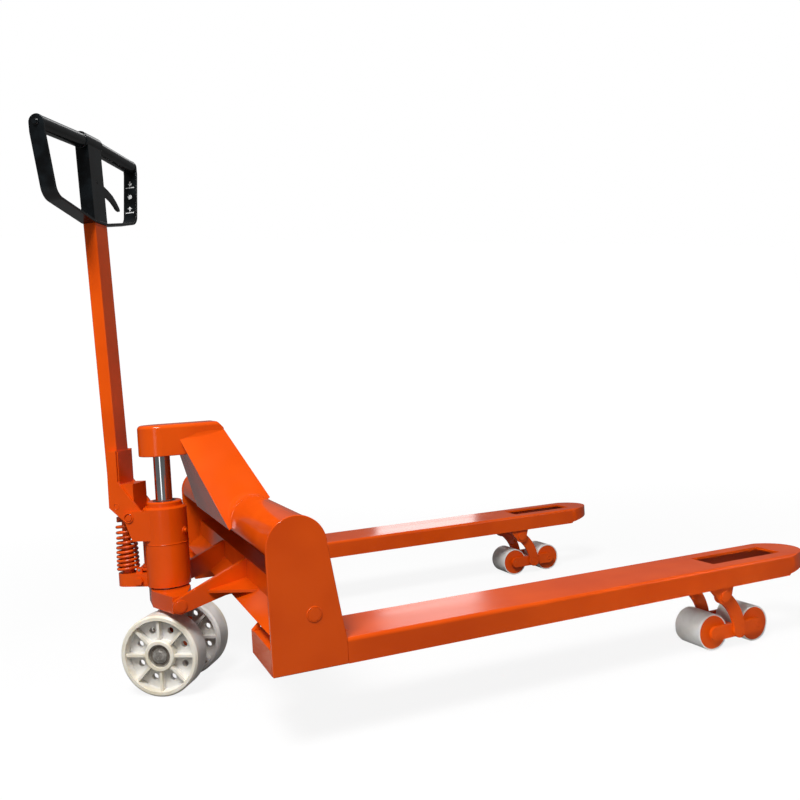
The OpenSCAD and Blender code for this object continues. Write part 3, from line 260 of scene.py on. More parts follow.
def enamel(name, streak=(1, 1, 1), peel=0.000012, rough=(0.12, 0.16)):
    """Sprayed orange enamel: deep and glossy, with orange peel, slow colour drift and slightly wavy steel below.

    streak stretches the gloss and the waves along x, y and z, peel is the depth of the orange peel in metres, and
    rough is the range of the roughness.
    """
    e = looks().enamel
    m, t, where = start(name)
    drawn = add(t, "Mapping", None, {"Vector": where, "Scale": [1 / s for s in streak]})
    # The colour drifts over about 150 mm and the gloss over 55 mm, both too softly to show an edge
    drift = add(t, "TexNoise", None, {"Vector": where, "Scale": 7.0, "Detail": 2.0})
    thick = add(t, "MapRange", SOFT, {"Value": drift, "From Min": 0.3, "From Max": 0.7})
    colour = add(t, "Mix", COLOUR, {"Factor": thick, "A": linear(e.orange_deep), "B": linear(e.orange)})
    gloss = add(t, "TexNoise", None, {"Vector": drawn, "Scale": 18.0, "Detail": 1.0})
    shine = add(t, "MapRange", SOFT, {"Value": gloss, "From Min": 0.25, "From Max": 0.75, "To Min": rough[0],
                                      "To Max": rough[1]})
    # Orange peel is 1 to 2 mm on the real truck; drawn 7 mm wide so that it shows at this size
    waves = add(t, "TexNoise", None, {"Vector": drawn, "Scale": 10.0, "Detail": 0.0})
    fine = add(t, "TexNoise", None, {"Vector": where, "Scale": 140.0, "Detail": 1.0})
    sheet = add(t, "Bump", None, {"Height": waves, "Distance": peel * 16})
    skin = add(t, "Bump", None, {"Height": fine, "Distance": peel, "Normal": sheet})
    return close(m, base_color=colour, roughness=shine, ior=1.52, specular_ior_level=0.3, normal=skin)


def black_enamel():
    """Stoved black enamel on the hand loop: nearly black and glossy, with a faint cold tint and fine peel."""
    m, t, where = start("stoved_black_enamel")
    drift = add(t, "TexNoise", None, {"Vector": where, "Scale": 30.0, "Detail": 2.0})
    part = add(t, "MapRange", SOFT, {"Value": drift, "From Min": 0.3, "From Max": 0.7})
    colour = add(t, "Mix", COLOUR, {"Factor": part, "A": linear(looks().enamel.black), "B": linear("12171A")})
    shine = add(t, "MapRange", None, {"Value": part, "To Min": 0.17, "To Max": 0.22})
    fine = add(t, "TexNoise", None, {"Vector": where, "Scale": 240.0, "Detail": 2.0})
    skin = add(t, "Bump", None, {"Height": fine, "Distance": 0.00001})
    return close(m, base_color=colour, roughness=shine, ior=1.52, specular_ior_level=0.55, normal=skin)


def hard_chrome():
    """Ground and chromed ram: mirror-bright with faint drawn lines along its length."""
    m, t, where = start("hard_chrome")
    drawn = add(t, "Mapping", None, {"Vector": where, "Scale": (1, 1, 1 / 40)})
    lines = add(t, "TexNoise", None, {"Vector": drawn, "Scale": 420.0, "Detail": 2.0})
    shine = add(t, "MapRange", SOFT, {"Value": lines, "From Min": 0.3, "From Max": 0.7, "To Min": 0.05,
                                      "To Max": 0.1})
    skin = add(t, "Bump", None, {"Height": lines, "Distance": 0.000006})
    return close(m, base_color=linear("D2D4D6"), metallic=1.0, roughness=shine, normal=skin)


def turned_steel():
    """Turned mild steel under a film of oil and dust: grey, dull, lightly mottled."""
    m, t, where = start("turned_steel")
    mottle = add(t, "TexNoise", None, {"Vector": where, "Scale": 120.0, "Detail": 3.0})
    part = add(t, "MapRange", SOFT, {"Value": mottle, "From Min": 0.3, "From Max": 0.7})
    colour = add(t, "Mix", COLOUR, {"Factor": part, "A": linear("8A847C"), "B": linear("B5B1AB")})
    shine = add(t, "MapRange", None, {"Value": part, "To Min": 0.35, "To Max": 0.5})
    skin = add(t, "Bump", None, {"Height": mottle, "Distance": 0.00005})
    return close(m, base_color=colour, metallic=0.45, roughness=shine, normal=skin)


def pressed_shield():
    """Pressed bearing shield: dull grey sheet under grease and dust, browner in patches."""
    m, t, where = start("greased_bearing_shield")
    grease = add(t, "TexNoise", None, {"Vector": where, "Scale": 90.0, "Detail": 3.0})
    part = add(t, "MapRange", SOFT, {"Value": grease, "From Min": 0.35, "From Max": 0.65})
    colour = add(t, "Mix", COLOUR, {"Factor": part, "A": linear("5A5148"), "B": linear("7F776D")})
    shine = add(t, "MapRange", None, {"Value": part, "To Min": 0.35, "To Max": 0.6})
    skin = add(t, "Bump", None, {"Height": grease, "Distance": 0.00004})
    return close(m, base_color=colour, roughness=shine, normal=skin)


def nylon(name, base, stain, scatter, shade=None, centre=(0, 0, 0), reach=(0, 1)):
    """Moulded nylon: waxy, slightly see-through, yellowed in patches; with shade it greys away from the outer face,
    as painted shade on the web and tread.

    The way from the outer face is the distance along the axle from centre, mapped over reach in metres.
    """
    m, t, where = start(name)
    patches = add(t, "TexNoise", None, {"Vector": where, "Scale": 22.0, "Detail": 4.0})
    part = add(t, "MapRange", SOFT, {"Value": patches, "From Min": 0.34, "From Max": 0.64})
    colour = add(t, "Mix", COLOUR, {"Factor": part, "A": linear(stain), "B": linear(base)})
    # Painted shade: grey on the faces set back from the outer face, which are the recessed web and the tread
    if shade:
        place = add(t, "Mapping", None, {"Vector": where, "Location": [-c for c in centre]})
        along = add(t, "VectorMath", {"operation": "DOT_PRODUCT"}, {"Vector": place, "Vector_001": AXLE})
        out = add(t, "MapRange", None, {"Value": along, "From Min": reach[0], "From Max": reach[1]})
        grey = add(t, "Mix", COLOUR, {"Factor": part, "A": linear("D6D3CC"), "B": linear(shade)})
        colour = add(t, "Mix", COLOUR, {"Factor": out, "A": grey, "B": colour})
    shine = add(t, "MapRange", None, {"Value": part, "To Min": 0.34, "To Max": 0.48})
    grain = add(t, "TexNoise", None, {"Vector": where, "Scale": 90.0, "Detail": 3.0})
    skin = add(t, "Bump", None, {"Height": grain, "Distance": 0.00005})
    return close(m, base_color=colour, roughness=shine, ior=1.53, specular_ior_level=0.4, subsurface_weight=scatter,
                 subsurface_radius=(0.006, 0.005, 0.0035), subsurface_scale=1.0, normal=skin)


def wheel_nylon(side, sign):
    """Ivory nylon of one steer wheel, with painted shade on its web and tread; sign says on which end of the axle its
    outer face lies.
    """
    e = looks().enamel
    lo, hi = (np.array(c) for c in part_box("steer_wheel_" + side))
    reach = (sign * 0.006, sign * 0.024)
    return nylon("moulded_ivory_nylon_" + side, e.ivory, "E8DFC9", 0.2, e.painted_web_shade, (lo + hi) / 2, reach)


def seal_rubber():
    """Moulded nitrile rubber: dull black with dust."""
    m, t, where = start("nitrile_rubber")
    dust = add(t, "TexNoise", None, {"Vector": where, "Scale": 150.0, "Detail": 3.0})
    part = add(t, "MapRange", SOFT, {"Value": dust, "From Min": 0.4, "From Max": 0.75})
    colour = add(t, "Mix", COLOUR, {"Factor": part, "A": linear("121212"), "B": linear("2A2826")})
    skin = add(t, "Bump", None, {"Height": dust, "Distance": 0.0001})
    return close(m, base_color=colour, roughness=0.72, normal=skin)


def spring_wire():
    """Spring wire painted with the pump: orange and thin, with darker orange in random patches as painted shade for
    the coils shading each other.
    """
    m, t, where = start("painted_spring_wire")
    painted_shade_noise = add(t, "TexNoise", None, {"Vector": where, "Scale": 70.0, "Detail": 3.0})
    part = add(t, "MapRange", SOFT, {"Value": painted_shade_noise, "From Min": 0.3, "From Max": 0.58})
    # Painted shade: the darker orange A8360A in random patches
    colour = add(t, "Mix", COLOUR, {"Factor": part, "A": linear("A8360A"), "B": linear(looks().enamel.orange)})
    shine = add(t, "MapRange", None, {"Value": part, "To Min": 0.22, "To Max": 0.34})
    skin = add(t, "Bump", None, {"Height": painted_shade_noise, "Distance": 0.00005})
    return close(m, base_color=colour, roughness=shine, specular_ior_level=0.4, normal=skin)


def stencil_white():
    """White stencil ink on the strap: matt, a little thin in places."""
    m, t, where = start("white_stencil_ink")
    thin = add(t, "TexNoise", None, {"Vector": where, "Scale": 400.0, "Detail": 2.0})
    part = add(t, "MapRange", SOFT, {"Value": thin, "From Min": 0.3, "From Max": 0.6})
    colour = add(t, "Mix", COLOUR, {"Factor": part, "A": linear("C9CBCB"), "B": linear("F2F3F2")})
    return close(m, base_color=colour, roughness=0.6)


MATERIALS = {}


def finish(name):
    """The named finish, made once."""
    makers = {
        "enamel": lambda: enamel("sprayed_orange_enamel"),
        "enamel_long": lambda: enamel("orange_enamel_on_rolled_sheet", streak=(14, 1, 1), peel=0.00002,
                                      rough=(0.14, 0.24)),
        "enamel_cast": lambda: enamel("orange_enamel_on_casting", peel=0.00002, rough=(0.13, 0.17)),
        "black": black_enamel,
        "chrome": hard_chrome,
        "steel": turned_steel,
        "shield": pressed_shield,
        "ivory_right": lambda: wheel_nylon("right", -1),
        "ivory_left": lambda: wheel_nylon("left", 1),
        "grey_nylon": lambda: nylon("moulded_grey_nylon", looks().enamel.roller_grey, "E2E1DC", 0.12),
        "rubber": seal_rubber,
        "spring": spring_wire,
        "stencil": stencil_white,
    }
    if name not in MATERIALS:
        MATERIALS[name] = makers[name]()
    return MATERIALS[name]


# Meshes


def put(name, verts, faces, body, material, smooth=True, turn=False):
    """Makes a piece from arrays of points and faces, and lets it ride on a body; turn points its faces outwards."""
    mesh = bpy.data.meshes.new(name)
    mesh.from_pydata(np.asarray(verts).reshape(-1, 3).tolist(), [], [list(map(int, f)) for f in faces])
    mesh.polygons.foreach_set("use_smooth", np.full(len(mesh.polygons), smooth))
    mesh.materials.append(finish(material))
    if turn:
        bm = bmesh.new()
        bm.from_mesh(mesh)
        bmesh.ops.remove_doubles(bm, verts=bm.verts, dist=1e-6)
        bmesh.ops.recalc_face_normals(bm, faces=bm.faces)
        bm.to_mesh(mesh)
        bm.free()
    mesh.update()
    obj = bpy.data.objects.new(name, mesh)
    bpy.context.scene.collection.objects.link(obj)
    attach(obj, body)
    return obj


def grid_faces(rows, cols, wrap=True):
    """Quads of a grid of points, row by row; wrap joins the last column to the first."""
    r, c = np.meshgrid(np.arange(rows - 1), np.arange(cols if wrap else cols - 1), indexing="ij")
    n = (c + 1) % cols
    return np.stack([r * cols + c, r * cols + n, (r + 1) * cols + n, (r + 1) * cols + c], -1).reshape(-1, 4)


def tube(path, radius, side, sides):
    """Points of a tube: at each path point a circle of the given radius, in the plane of side and tangent x side."""
    path = np.asarray(path, float)
    radius = np.broadcast_to(np.asarray(radius, float), len(path))
    tangent = np.gradient(path, axis=0)
    tangent /= np.linalg.norm(tangent, axis=1, keepdims=True)
    side = np.broadcast_to(np.asarray(side, float), path.shape)
    side = side - (side * tangent).sum(1, keepdims=True) * tangent
    side /= np.linalg.norm(side, axis=1, keepdims=True)
    other = np.cross(tangent, side)
    a = np.linspace(0, 2 * np.pi, sides, endpoint=False)
    ring = np.cos(a)[None, :, None] * side[:, None] + np.sin(a)[None, :, None] * other[:, None]
    return path[:, None] + radius[:, None, None] * ring


def capped(rows, cols):
    """Faces of a closed tube: its grid and a fan at each end."""
    faces = [list(f) for f in grid_faces(rows, cols)]
    return faces + [list(range(cols))[::-1], [(rows - 1) * cols + i for i in range(cols)]]


def resample(points, step):
    """Points spaced evenly along a polyline, about step apart, and their distances from its start."""
    points = np.asarray(points, float)
    run = np.r_[0, np.cumsum(np.linalg.norm(np.diff(points, axis=0), axis=1))]
    n = max(int(run[-1] / step), 4)
    at = np.linspace(0, run[-1], n)
    return np.stack([np.interp(at, run, points[:, k]) for k in range(3)], -1), at


def bead(name, points, side, size):
    """Weld bead on the frame: a tube along a seam that swells with each ripple and fades at both ends.

    At distance s its radius is size x radius x (0.86 + 0.14 |sin(pi s / ripple)| + 0.08 sin(83 s)).
    """
    w = looks().welds
    path, at = resample(points, w.ripple / 6)
    ripple = np.abs(np.sin(np.pi * at / w.ripple))
    swell = w.radius * size * (0.86 + 0.14 * ripple + 0.08 * np.sin(at * 83))
    fade = np.clip(np.minimum(at, at[-1] - at) / (w.radius * 1.5), 0.25, 1)
    ring = tube(path, swell * fade, side, WELD_SIDES)
    return put(name, ring, capped(len(path), WELD_SIDES), "frame", "enamel")


def lathe(profile, centre, axis, steps):
    """Points and faces of a closed ring profile of (radius, place along the axis) turned about an axis."""
    axis = np.asarray(axis, float) / np.linalg.norm(axis)
    first = np.cross(axis, (0, 0, 1) if abs(axis[2]) < 0.9 else (1, 0, 0))
    first /= np.linalg.norm(first)
    second = np.cross(axis, first)
    a = np.linspace(0, 2 * np.pi, steps, endpoint=False)
    out = np.cos(a)[:, None] * first + np.sin(a)[:, None] * second
    r, along = np.asarray(profile, float).T
    pts = np.asarray(centre) + r[None, :, None] * out[:, None] + along[None, :, None] * axis
    cols = len(r)
    return pts, grid_faces(steps + 1, cols) % (steps * cols)


def unit(v):
    """Vectors scaled to length one."""
    return v / np.linalg.norm(v, axis=-1, keepdims=True)


def fillet(name, seam, normal_a, normal_b, radius):
    """Hollow weld fillet on the frame, along a seam of two plates with the given normals at its points.

    It is a quarter curve from one plate to the other, with its edges and its back sunk in. At distance s its size is
    radius x (1 + 0.05 sin(210 s) + 0.04 sin(97 s)), and it fades over 4 radii at both ends.
    """
    step, sink, back = 0.004, 0.0004, 0.0012
    path, at = resample(seam, step)
    stops = np.r_[0, np.cumsum(np.linalg.norm(np.diff(seam, axis=0), axis=1))]
    na, nb = (unit(np.stack([np.interp(at, stops, n[:, k]) for k in range(3)], -1)) for n in (normal_a, normal_b))
    tangent = unit(np.gradient(path, axis=0))
    up, out = np.cross(tangent, na), np.cross(tangent, nb)
    up = unit(up * np.sign((up * nb).sum(1, keepdims=True)))
    out = unit(out * np.sign((out * na).sum(1, keepdims=True)))
    size = radius * (1 + 0.05 * np.sin(at * 210) + 0.04 * np.sin(at * 97))
    size = (size * np.clip(np.minimum(at, at[-1] - at) / (4 * radius), 0.12, 1))[:, None]
    turn = np.linspace(0, np.pi / 2, FILLET_POINTS)
    curve = [path + size * ((1 - math.sin(u)) * up + (1 - math.cos(u)) * out) for u in turn]
    curve[0] = curve[0] - sink * na
    curve[-1] = curve[-1] - sink * nb
    ring = np.stack(curve + [path - back * (na + nb)], 1)
    return put(name, ring, capped(len(path), FILLET_POINTS + 1), "frame", "enamel", turn=True)


def points_of(node):
    """Points of a CAD node."""
    mesh = frame["nodes"][node].data
    pts = np.empty(len(mesh.vertices) * 3)
    mesh.vertices.foreach_get("co", pts)
    return pts.reshape(-1, 3)


def collar(name, centre, axis, radius, body, thick=0.0013):
    """Thin painted weld or seam ring: a small circle with the radius thick, carried round an axis."""
    a = np.linspace(0, 2 * np.pi, WELD_SIDES, endpoint=False)
    ring = np.stack([radius + thick * np.cos(a), thick * np.sin(a)], -1)
    pts, faces = lathe(ring, centre, axis, ROUND_STEPS)
    return put(name, pts, faces, body, "enamel", turn=True)


def round_edges(obj, width, segments=2):
    """Rounds the sharp edges and keeps the shading of flat faces flat."""
    edge = obj.modifiers.new("edges", "BEVEL")
    edge.width = width
    edge.segments = segments
    edge.limit_method = "ANGLE"
    edge.angle_limit = SHARP
    edge.use_clamp_overlap = True
    flat = obj.modifiers.new("flat_faces", "WEIGHTED_NORMAL")
    flat.mode = "FACE_AREA"
    flat.weight = 100
    flat.keep_sharp = False


def soften(nodes, width, material, segments=2):
    """Copies of CAD nodes with merged flat faces and rounded edges, in place of the sharp ones."""
    body_of = {n: b for b, ns in frame["record"]["behaviour"]["bodies"].items() for n in ns}
    for n in nodes:
        mesh = frame["nodes"][n].data.copy()
        mesh.name = n + "_soft"
        bm = bmesh.new()
        bm.from_mesh(mesh)
        bmesh.ops.remove_doubles(bm, verts=bm.verts, dist=1e-5)
        bmesh.ops.dissolve_limit(
            bm, angle_limit=FLAT, verts=bm.verts, edges=bm.edges, use_dissolve_boundaries=False)
        bm.to_mesh(mesh)
        bm.free()
        mesh.polygons.foreach_set("use_smooth", np.ones(len(mesh.polygons), bool))
        mesh.materials.clear()
        mesh.materials.append(finish(material))
        obj = bpy.data.objects.new(n + "_soft", mesh)
        bpy.context.scene.collection.objects.link(obj)
        round_edges(obj, width, segments)
        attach(obj, body_of[n])
        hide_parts(n)


def paint(nodes, material):
    """Gives CAD nodes that keep their shape a finish."""
    for n in nodes:
        mesh = frame["nodes"][n].data
        mesh.materials.clear()
        mesh.materials.append(finish(material))


# Pieces


class TRUCK_OT_welded_frame(bpy.types.Operator):
    """Forks, side plates, cover, gooseneck and lift head with rounded edges"""

    bl_idname = "truck.welded_frame"
    bl_label = "Welded Frame"

    def execute(self, context):
        e = looks().edges
        soften(["fork_right", "fork_left"], e.sheet, "enamel_long")
        soften(["side_plate_right", "side_plate_left"], e.sheet * 1.6, "enamel", 3)
        soften(["cross_cover"], e.sheet, "enamel")
        soften(["gooseneck"], e.sheet * 4, "enamel", 4)
        soften(["lift_head"], e.casting, "enamel_cast", 3)
        soften(["rocker_pivot_pins", "roller_arm_pins"], e.sheet * 0.6, "enamel")
        # Thin weld ring round each pivot pin on the outside of its side plate
        lo, hi = (np.array(c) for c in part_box("rocker_pivot_pins"))
        pin = (lo + hi) / 2
        ring = (hi[2] - lo[2]) / 2 + RING_GAP
        for side, sign in SIDES:
            face = max(abs(c.y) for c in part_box("side_plate_" + side)) * sign
            collar("pivot_pin_weld_" + side, (pin[0], face, pin[2]), (0, 1, 0), ring, "frame")
        paint(["ram"], "chrome")
        return {"FINISHED"}


class TRUCK_OT_welds(bpy.types.Operator):
    """Weld fillets at the foot and top of the gooseneck and beads where the side plates stand on the forks"""

    bl_idname = "truck.welds"
    bl_label = "Weld Fillets"

    def execute(self, context):
        plate_lo, plate_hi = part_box("side_plate_right")
        cx, cz = plate_lo.x + HEEL_R, plate_hi.z - HEEL_R
        pts = points_of("gooseneck")
        head_lo, head_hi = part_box("lift_head")
        # The foot's outline: points of the neck on the cover's cylinder, the widest at each angle
        near_cover, near_angle, outer_wall = 0.0006, 0.006, 0.16
        out = np.hypot(pts[:, 0] - cx, pts[:, 2] - cz)
        foot = pts[np.abs(out - COVER_R) < near_cover]
        angle = np.mod(np.arctan2(foot[:, 2] - cz, foot[:, 0] - cx), 2 * np.pi)
        keys = np.unique(np.round(angle, 2))[::-1]
        rows = [foot[np.abs(angle - k) < near_angle] for k in keys]
        left = np.array([r[np.argmax(r[:, 1])] for r in rows])
        left = left[left[:, 1] > outer_wall]
        # Normals of the neck's left side and of its sloping front, from the foot to the lift head's corner
        top = np.array([head_hi.x, HEAD_HALF, head_hi.z - 0.02])
        side_n = unit(np.cross(left[-1] - left[0], top - left[0]))
        side_n *= np.sign(side_n[1])
        flip = np.array([1, -1, 1])
        front_n = unit(np.cross([0, 1, 0], top - left[-1]))
        front_n *= np.sign(front_n[0])
        foot_r, front_r, head_r = 0.015, 0.007, 0.008
        for side, turn in (("left", 1), ("right", flip)):
            seam = left * turn
            fillet("neck_foot_weld_" + side, seam, np.tile(side_n * turn, (len(seam), 1)),
                   unit((seam - [cx, 0, cz]) * [1, 0, 1]), foot_r)
        front = np.stack([left[-1], left[-1] * flip])
        fillet("neck_front_weld", front, np.tile(front_n, (2, 1)), unit((front - [cx, 0, cz]) * [1, 0, 1]), front_r)
        # Valley between the lift head's side and the flared side of the neck
        for side in (1, -1):
            turn = np.array([1, side, 1])
            low = [head_lo.x + HEAD_HALF + 0.045, HEAD_HALF, head_hi.z - 0.035]
            valley = np.array([low, top - [0.002, 0, 0.001]])
            fillet("neck_head_weld_" + ("left" if side > 0 else "right"), valley * turn,
                   np.tile([0, side, 0], (2, 1)).astype(float), np.tile(side_n * turn, (2, 1)), head_r)
        # Bead along the top of each fork, where its side plate stands
        for side, sign in SIDES:
            inner, high = sign * abs(plate_hi.y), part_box("fork_" + side)[1].z + 0.001
            run = np.array([[plate_lo.x + 0.02, inner, high], [plate_hi.x + 0.004, inner, high]])
            bead("heel_weld_" + side, run, (0, 0, 1), size=0.9)
        return {"FINISHED"}


class TRUCK_OT_linkage(bpy.types.Operator):
    """Yoke, rocker, push rods, roller arms and bogies with rounded edges"""

    bl_idname = "truck.linkage"
    bl_label = "Lift Linkage"

    def execute(self, context):
        e = looks().edges
        soften(["yoke", "rocker"], e.casting, "enamel_cast")
        soften(["push_rod_right", "push_rod_left"], e.sheet, "enamel")
        soften(["roller_arm_right", "roller_arm_left", "bogie_right", "bogie_left"], e.sheet, "enamel")
        soften(["bogie_pin_right", "bogie_pin_left", "roller_axles_right", "roller_axles_left"], e.sheet * 0.6,
               "enamel")
        # Riveted ring round each front roller axle; the rear ones lie flush, because the roller arm passes over them
        rivet, thick = 0.0058, 0.001
        for side in ("right", "left"):
            n = "load_roller_%s_front" % side
            ends = points_of("roller_axles_" + side)[:, 1]
            hub = np.array(JOINTS[n + "_spin"]["pos_m"])
            for end, y in (("outer", ends.min()), ("inner", ends.max())):
                collar("%s_rivet_%s" % (n, end), (hub[0], y, hub[2]), (0, 1, 0), rivet, "bogie_" + side, thick)
        soften(["yoke_pins"], e.sheet * 0.6, "steel")
        # Painted heads over the yoke pins on the outside of the lift arms
        lo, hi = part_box("yoke_pins")
        r = 0.0122
        head = [(0, -0.002), (r, -0.002), (r, 0.0012), (r - 0.001, 0.0024), (0, 0.0026)]
        for side, sign in SIDES:
            centre = ((lo.x + hi.x) / 2, sign * ARM_FACE, (lo.z + hi.z) / 2)
            pts, faces = lathe([(out, sign * along) for out, along in head], centre, (0, 1, 0), 48)
            cap = put("yoke_pin_head_" + side, pts, faces, "rocker", "enamel", turn=True)
            round_edges(cap, e.sheet * 0.5)
            collar("yoke_pin_weld_" + side, centre, (0, 1, 0), r + RING_GAP, "rocker")
        paint(["thrust_bearing", "rocker_bushes"], "steel")
        return {"FINISHED"}


class TRUCK_OT_pump(bpy.types.Operator):
    """Pump castings, plunger and small fittings"""

    bl_idname = "truck.pump"
    bl_label = "Pump"

    def execute(self, context):
        e = looks().edges
        soften(["pump_base", "pump_jacket", "axle_carrier"], e.casting, "enamel_cast")
        soften(["gland_nut", "bleed_screw", "base_plug", "release_rod", "release_lever"], e.sheet * 0.8, "enamel")
        soften(["plunger"], e.sheet * 0.6, "enamel")
        soften(["handle_pivot_pin"], e.sheet * 0.6, "enamel")
        soften(["steer_axle"], e.sheet * 0.6, "steel")
        paint(["axle_circlips", "wheel_bearings", "release_lever_pin"], "steel")
        paint(["wiper_seal"], "rubber")
        # Seam between base and jacket
        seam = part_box("pump_jacket")[0].z
        collar("pump_seam", (AXIS_X, 0, seam), (0, 0, 1), BARREL_R, "pump", 0.0009)
        # Rings round the ends of the handle pivot pin and of the pressure roller's pin
        for pin, radius, body in (("handle_pivot_pin", 0.0105, "pump"), ("press_roller_pin", 0.0068, "handle")):
            pts = points_of(pin)
            middle = (pts.min(0) + pts.max(0)) / 2
            reach = np.abs((pts - middle) @ AXLE).max() - 0.0004
            for side, sign in SIDES:
                collar("%s_ring_%s" % (pin, side), middle + sign * reach * AXLE, AXLE, radius, body, 0.001)
        # Vent plug on the side of the jacket: a round collar with a smaller six-sided head
        way = unit(np.array([0.76, -0.65, 0.0]))
        height, sunk = 0.357, 0.0015
        place = np.array([AXIS_X, 0, height]) + way * (BARREL_R - sunk)
        flange = [(0, -0.001), (0.0082, -0.001), (0.0082, 0.0022), (0.0076, 0.003), (0, 0.003)]
        head = [(0, 0.0), (0.0056, 0.0), (0.0056, 0.0072), (0.005, 0.0078), (0, 0.0078)]
        for name, profile, sides in (("vent_collar", flange, 40), ("vent_head", head, 6)):
            pts, faces = lathe(profile, place, way, sides)
            plug = put(name, pts, faces, "pump", "enamel", turn=True)
            round_edges(plug, 0.0005)
        return {"FINISHED"}


class TRUCK_OT_spring(bpy.types.Operator):
    """Coil spring round the plunger"""

    bl_idname = "truck.spring"
    bl_label = "Plunger Spring"

    def execute(self, context):
        s = looks().spring
        lo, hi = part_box("plunger_spring")
        centre = (np.array(lo) + np.array(hi)) / 2
        mean = (hi.y - lo.y) / 2 - s.wire / 2 + 0.0001
        curl_steps, wire_sides = 40, 12
        a = np.linspace(0, 2 * np.pi * s.turns, int(s.turns * curl_steps))
        # The pitch opens from the foot to the cap: at share p of the wire the rise is 0.84 p + 0.16 p^3
        part = a / a[-1]
        rise = 0.84 * part + 0.16 * part ** 3
        z = lo.z + s.wire / 2 + (hi.z - lo.z - s.wire) * rise
        # The lower coils are wider than those between the cheeks of the handle base, which start at 0.7 of the wire
        wider, cheeks = 0.0028, 0.7
        mean = mean + wider * np.clip(1 - part / cheeks, 0, 1) ** 0.5
        out = np.stack([np.cos(a + STEER), np.sin(a + STEER), 0 * a], -1)
        path = np.stack([centre[0] + mean * out[:, 0], centre[1] + mean * out[:, 1], z], -1)
        # Guide sleeve inside the lower coils
        sleeve = [(0.0096, 0.0), (0.0138, 0.0), (0.0138, 0.062), (0.0128, 0.064), (0.0096, 0.064)]
        seat = JOINTS["plunger_stroke"]["deforming_nodes"][0]["fixed_end_z_m"]
        pts, faces = lathe(sleeve, (centre[0], centre[1], seat), (0, 0, 1), 40)
        guide = put("plunger_guide", pts, faces, "pump", "enamel", turn=True)
        round_edges(guide, 0.0006)
        coil = put("plunger_coil", tube(path, s.wire / 2, out, wire_sides), capped(len(path), wire_sides), "pump",
                   "spring")
        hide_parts("plunger_spring")
        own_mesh(coil)
        return {"FINISHED"}


class TRUCK_OT_wheels(bpy.types.Operator):
    """Ribbed nylon steer wheels and load rollers"""

    bl_idname = "truck.wheels"
    bl_label = "Wheels and Rollers"

    def execute(self, context):
        e = looks().edges
        for side in ("right", "left"):
            soften(["steer_wheel_" + side], e.moulding, "ivory_" + side)
        # Bearing shields and turned ends of the axle seen in the wheel hubs
        hubs = (np.array(JOINTS["steer_wheel_right_spin"]["pos_m"]) + JOINTS["steer_wheel_left_spin"]["pos_m"]) / 2
        shield = [(0.0169, -0.001), (0.0222, -0.001), (0.0222, -0.0002), (0.0212, 0.0003), (0.0195, 0.0001),
                  (0.0178, 0.0003), (0.0169, -0.0002)]
        turned = [(0.0036, -0.001), (0.0112, -0.001), (0.0112, 0.0002), (0.0098, 0.0008), (0.0078, 0.0008),
                  (0.0068, 0.0003), (0.0054, 0.0003), (0.0044, 0.0009), (0.0036, 0.0007)]
        rings = (("bearing_shield_", "wheel_bearings", shield, "shield"),
                 ("axle_end_", "steer_axle", turned, "steel"))
        for name, carrier, profile, material in rings:
            reach = np.abs((points_of(carrier) - hubs) @ AXLE).max()
            for side, sign in SIDES:
                pts, faces = lathe(profile, hubs + sign * reach * AXLE, sign * AXLE, 56)
                put(name + side, pts, faces, "pump", material, turn=True)
        bore = ROLLER_BORE
        for n in [n for n in frame["nodes"] if n.startswith("load_roller")]:
            lo, hi = (np.array(c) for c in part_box(n))
            centre, half, r = (lo + hi) / 2, (hi[1] - lo[1]) / 2, (hi[2] - lo[2]) / 2
            # Tread: a nylon sleeve with a shallow recess at each end for the painted hub disc
            rim, deep = r - 0.0032, half - 0.0016
            sleeve = [(r, -half), (r, half), (rim, half), (rim, deep), (bore, deep), (bore, -deep), (rim, -deep),
                      (rim, -half)]
            pts, faces = lathe(sleeve, centre, (0, 1, 0), ROUND_STEPS)
            tread = put(n + "_tread", pts, faces, n, "grey_nylon", turn=True)
            round_edges(tread, e.moulding)
            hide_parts(n)
            for end, sign in (("inner", 1), ("outer", -1)):
                # Hub disc: flat steel disc with a low boss round the axle
                disc = [(bore, deep - 0.001), (rim - 0.0001, deep - 0.001), (rim - 0.0001, half - 0.0004),
                        (0.0175, half - 0.0004), (0.0165, half - 0.0001), (bore, half - 0.0001)]
                pts, faces = lathe([(a, sign * b) for a, b in disc], centre, (0, 1, 0), ROUND_STEPS)
                hub = put("%s_disc_%s" % (n, end), pts, faces, n, "enamel", turn=True)
                round_edges(hub, e.sheet * 0.5)
        return {"FINISHED"}


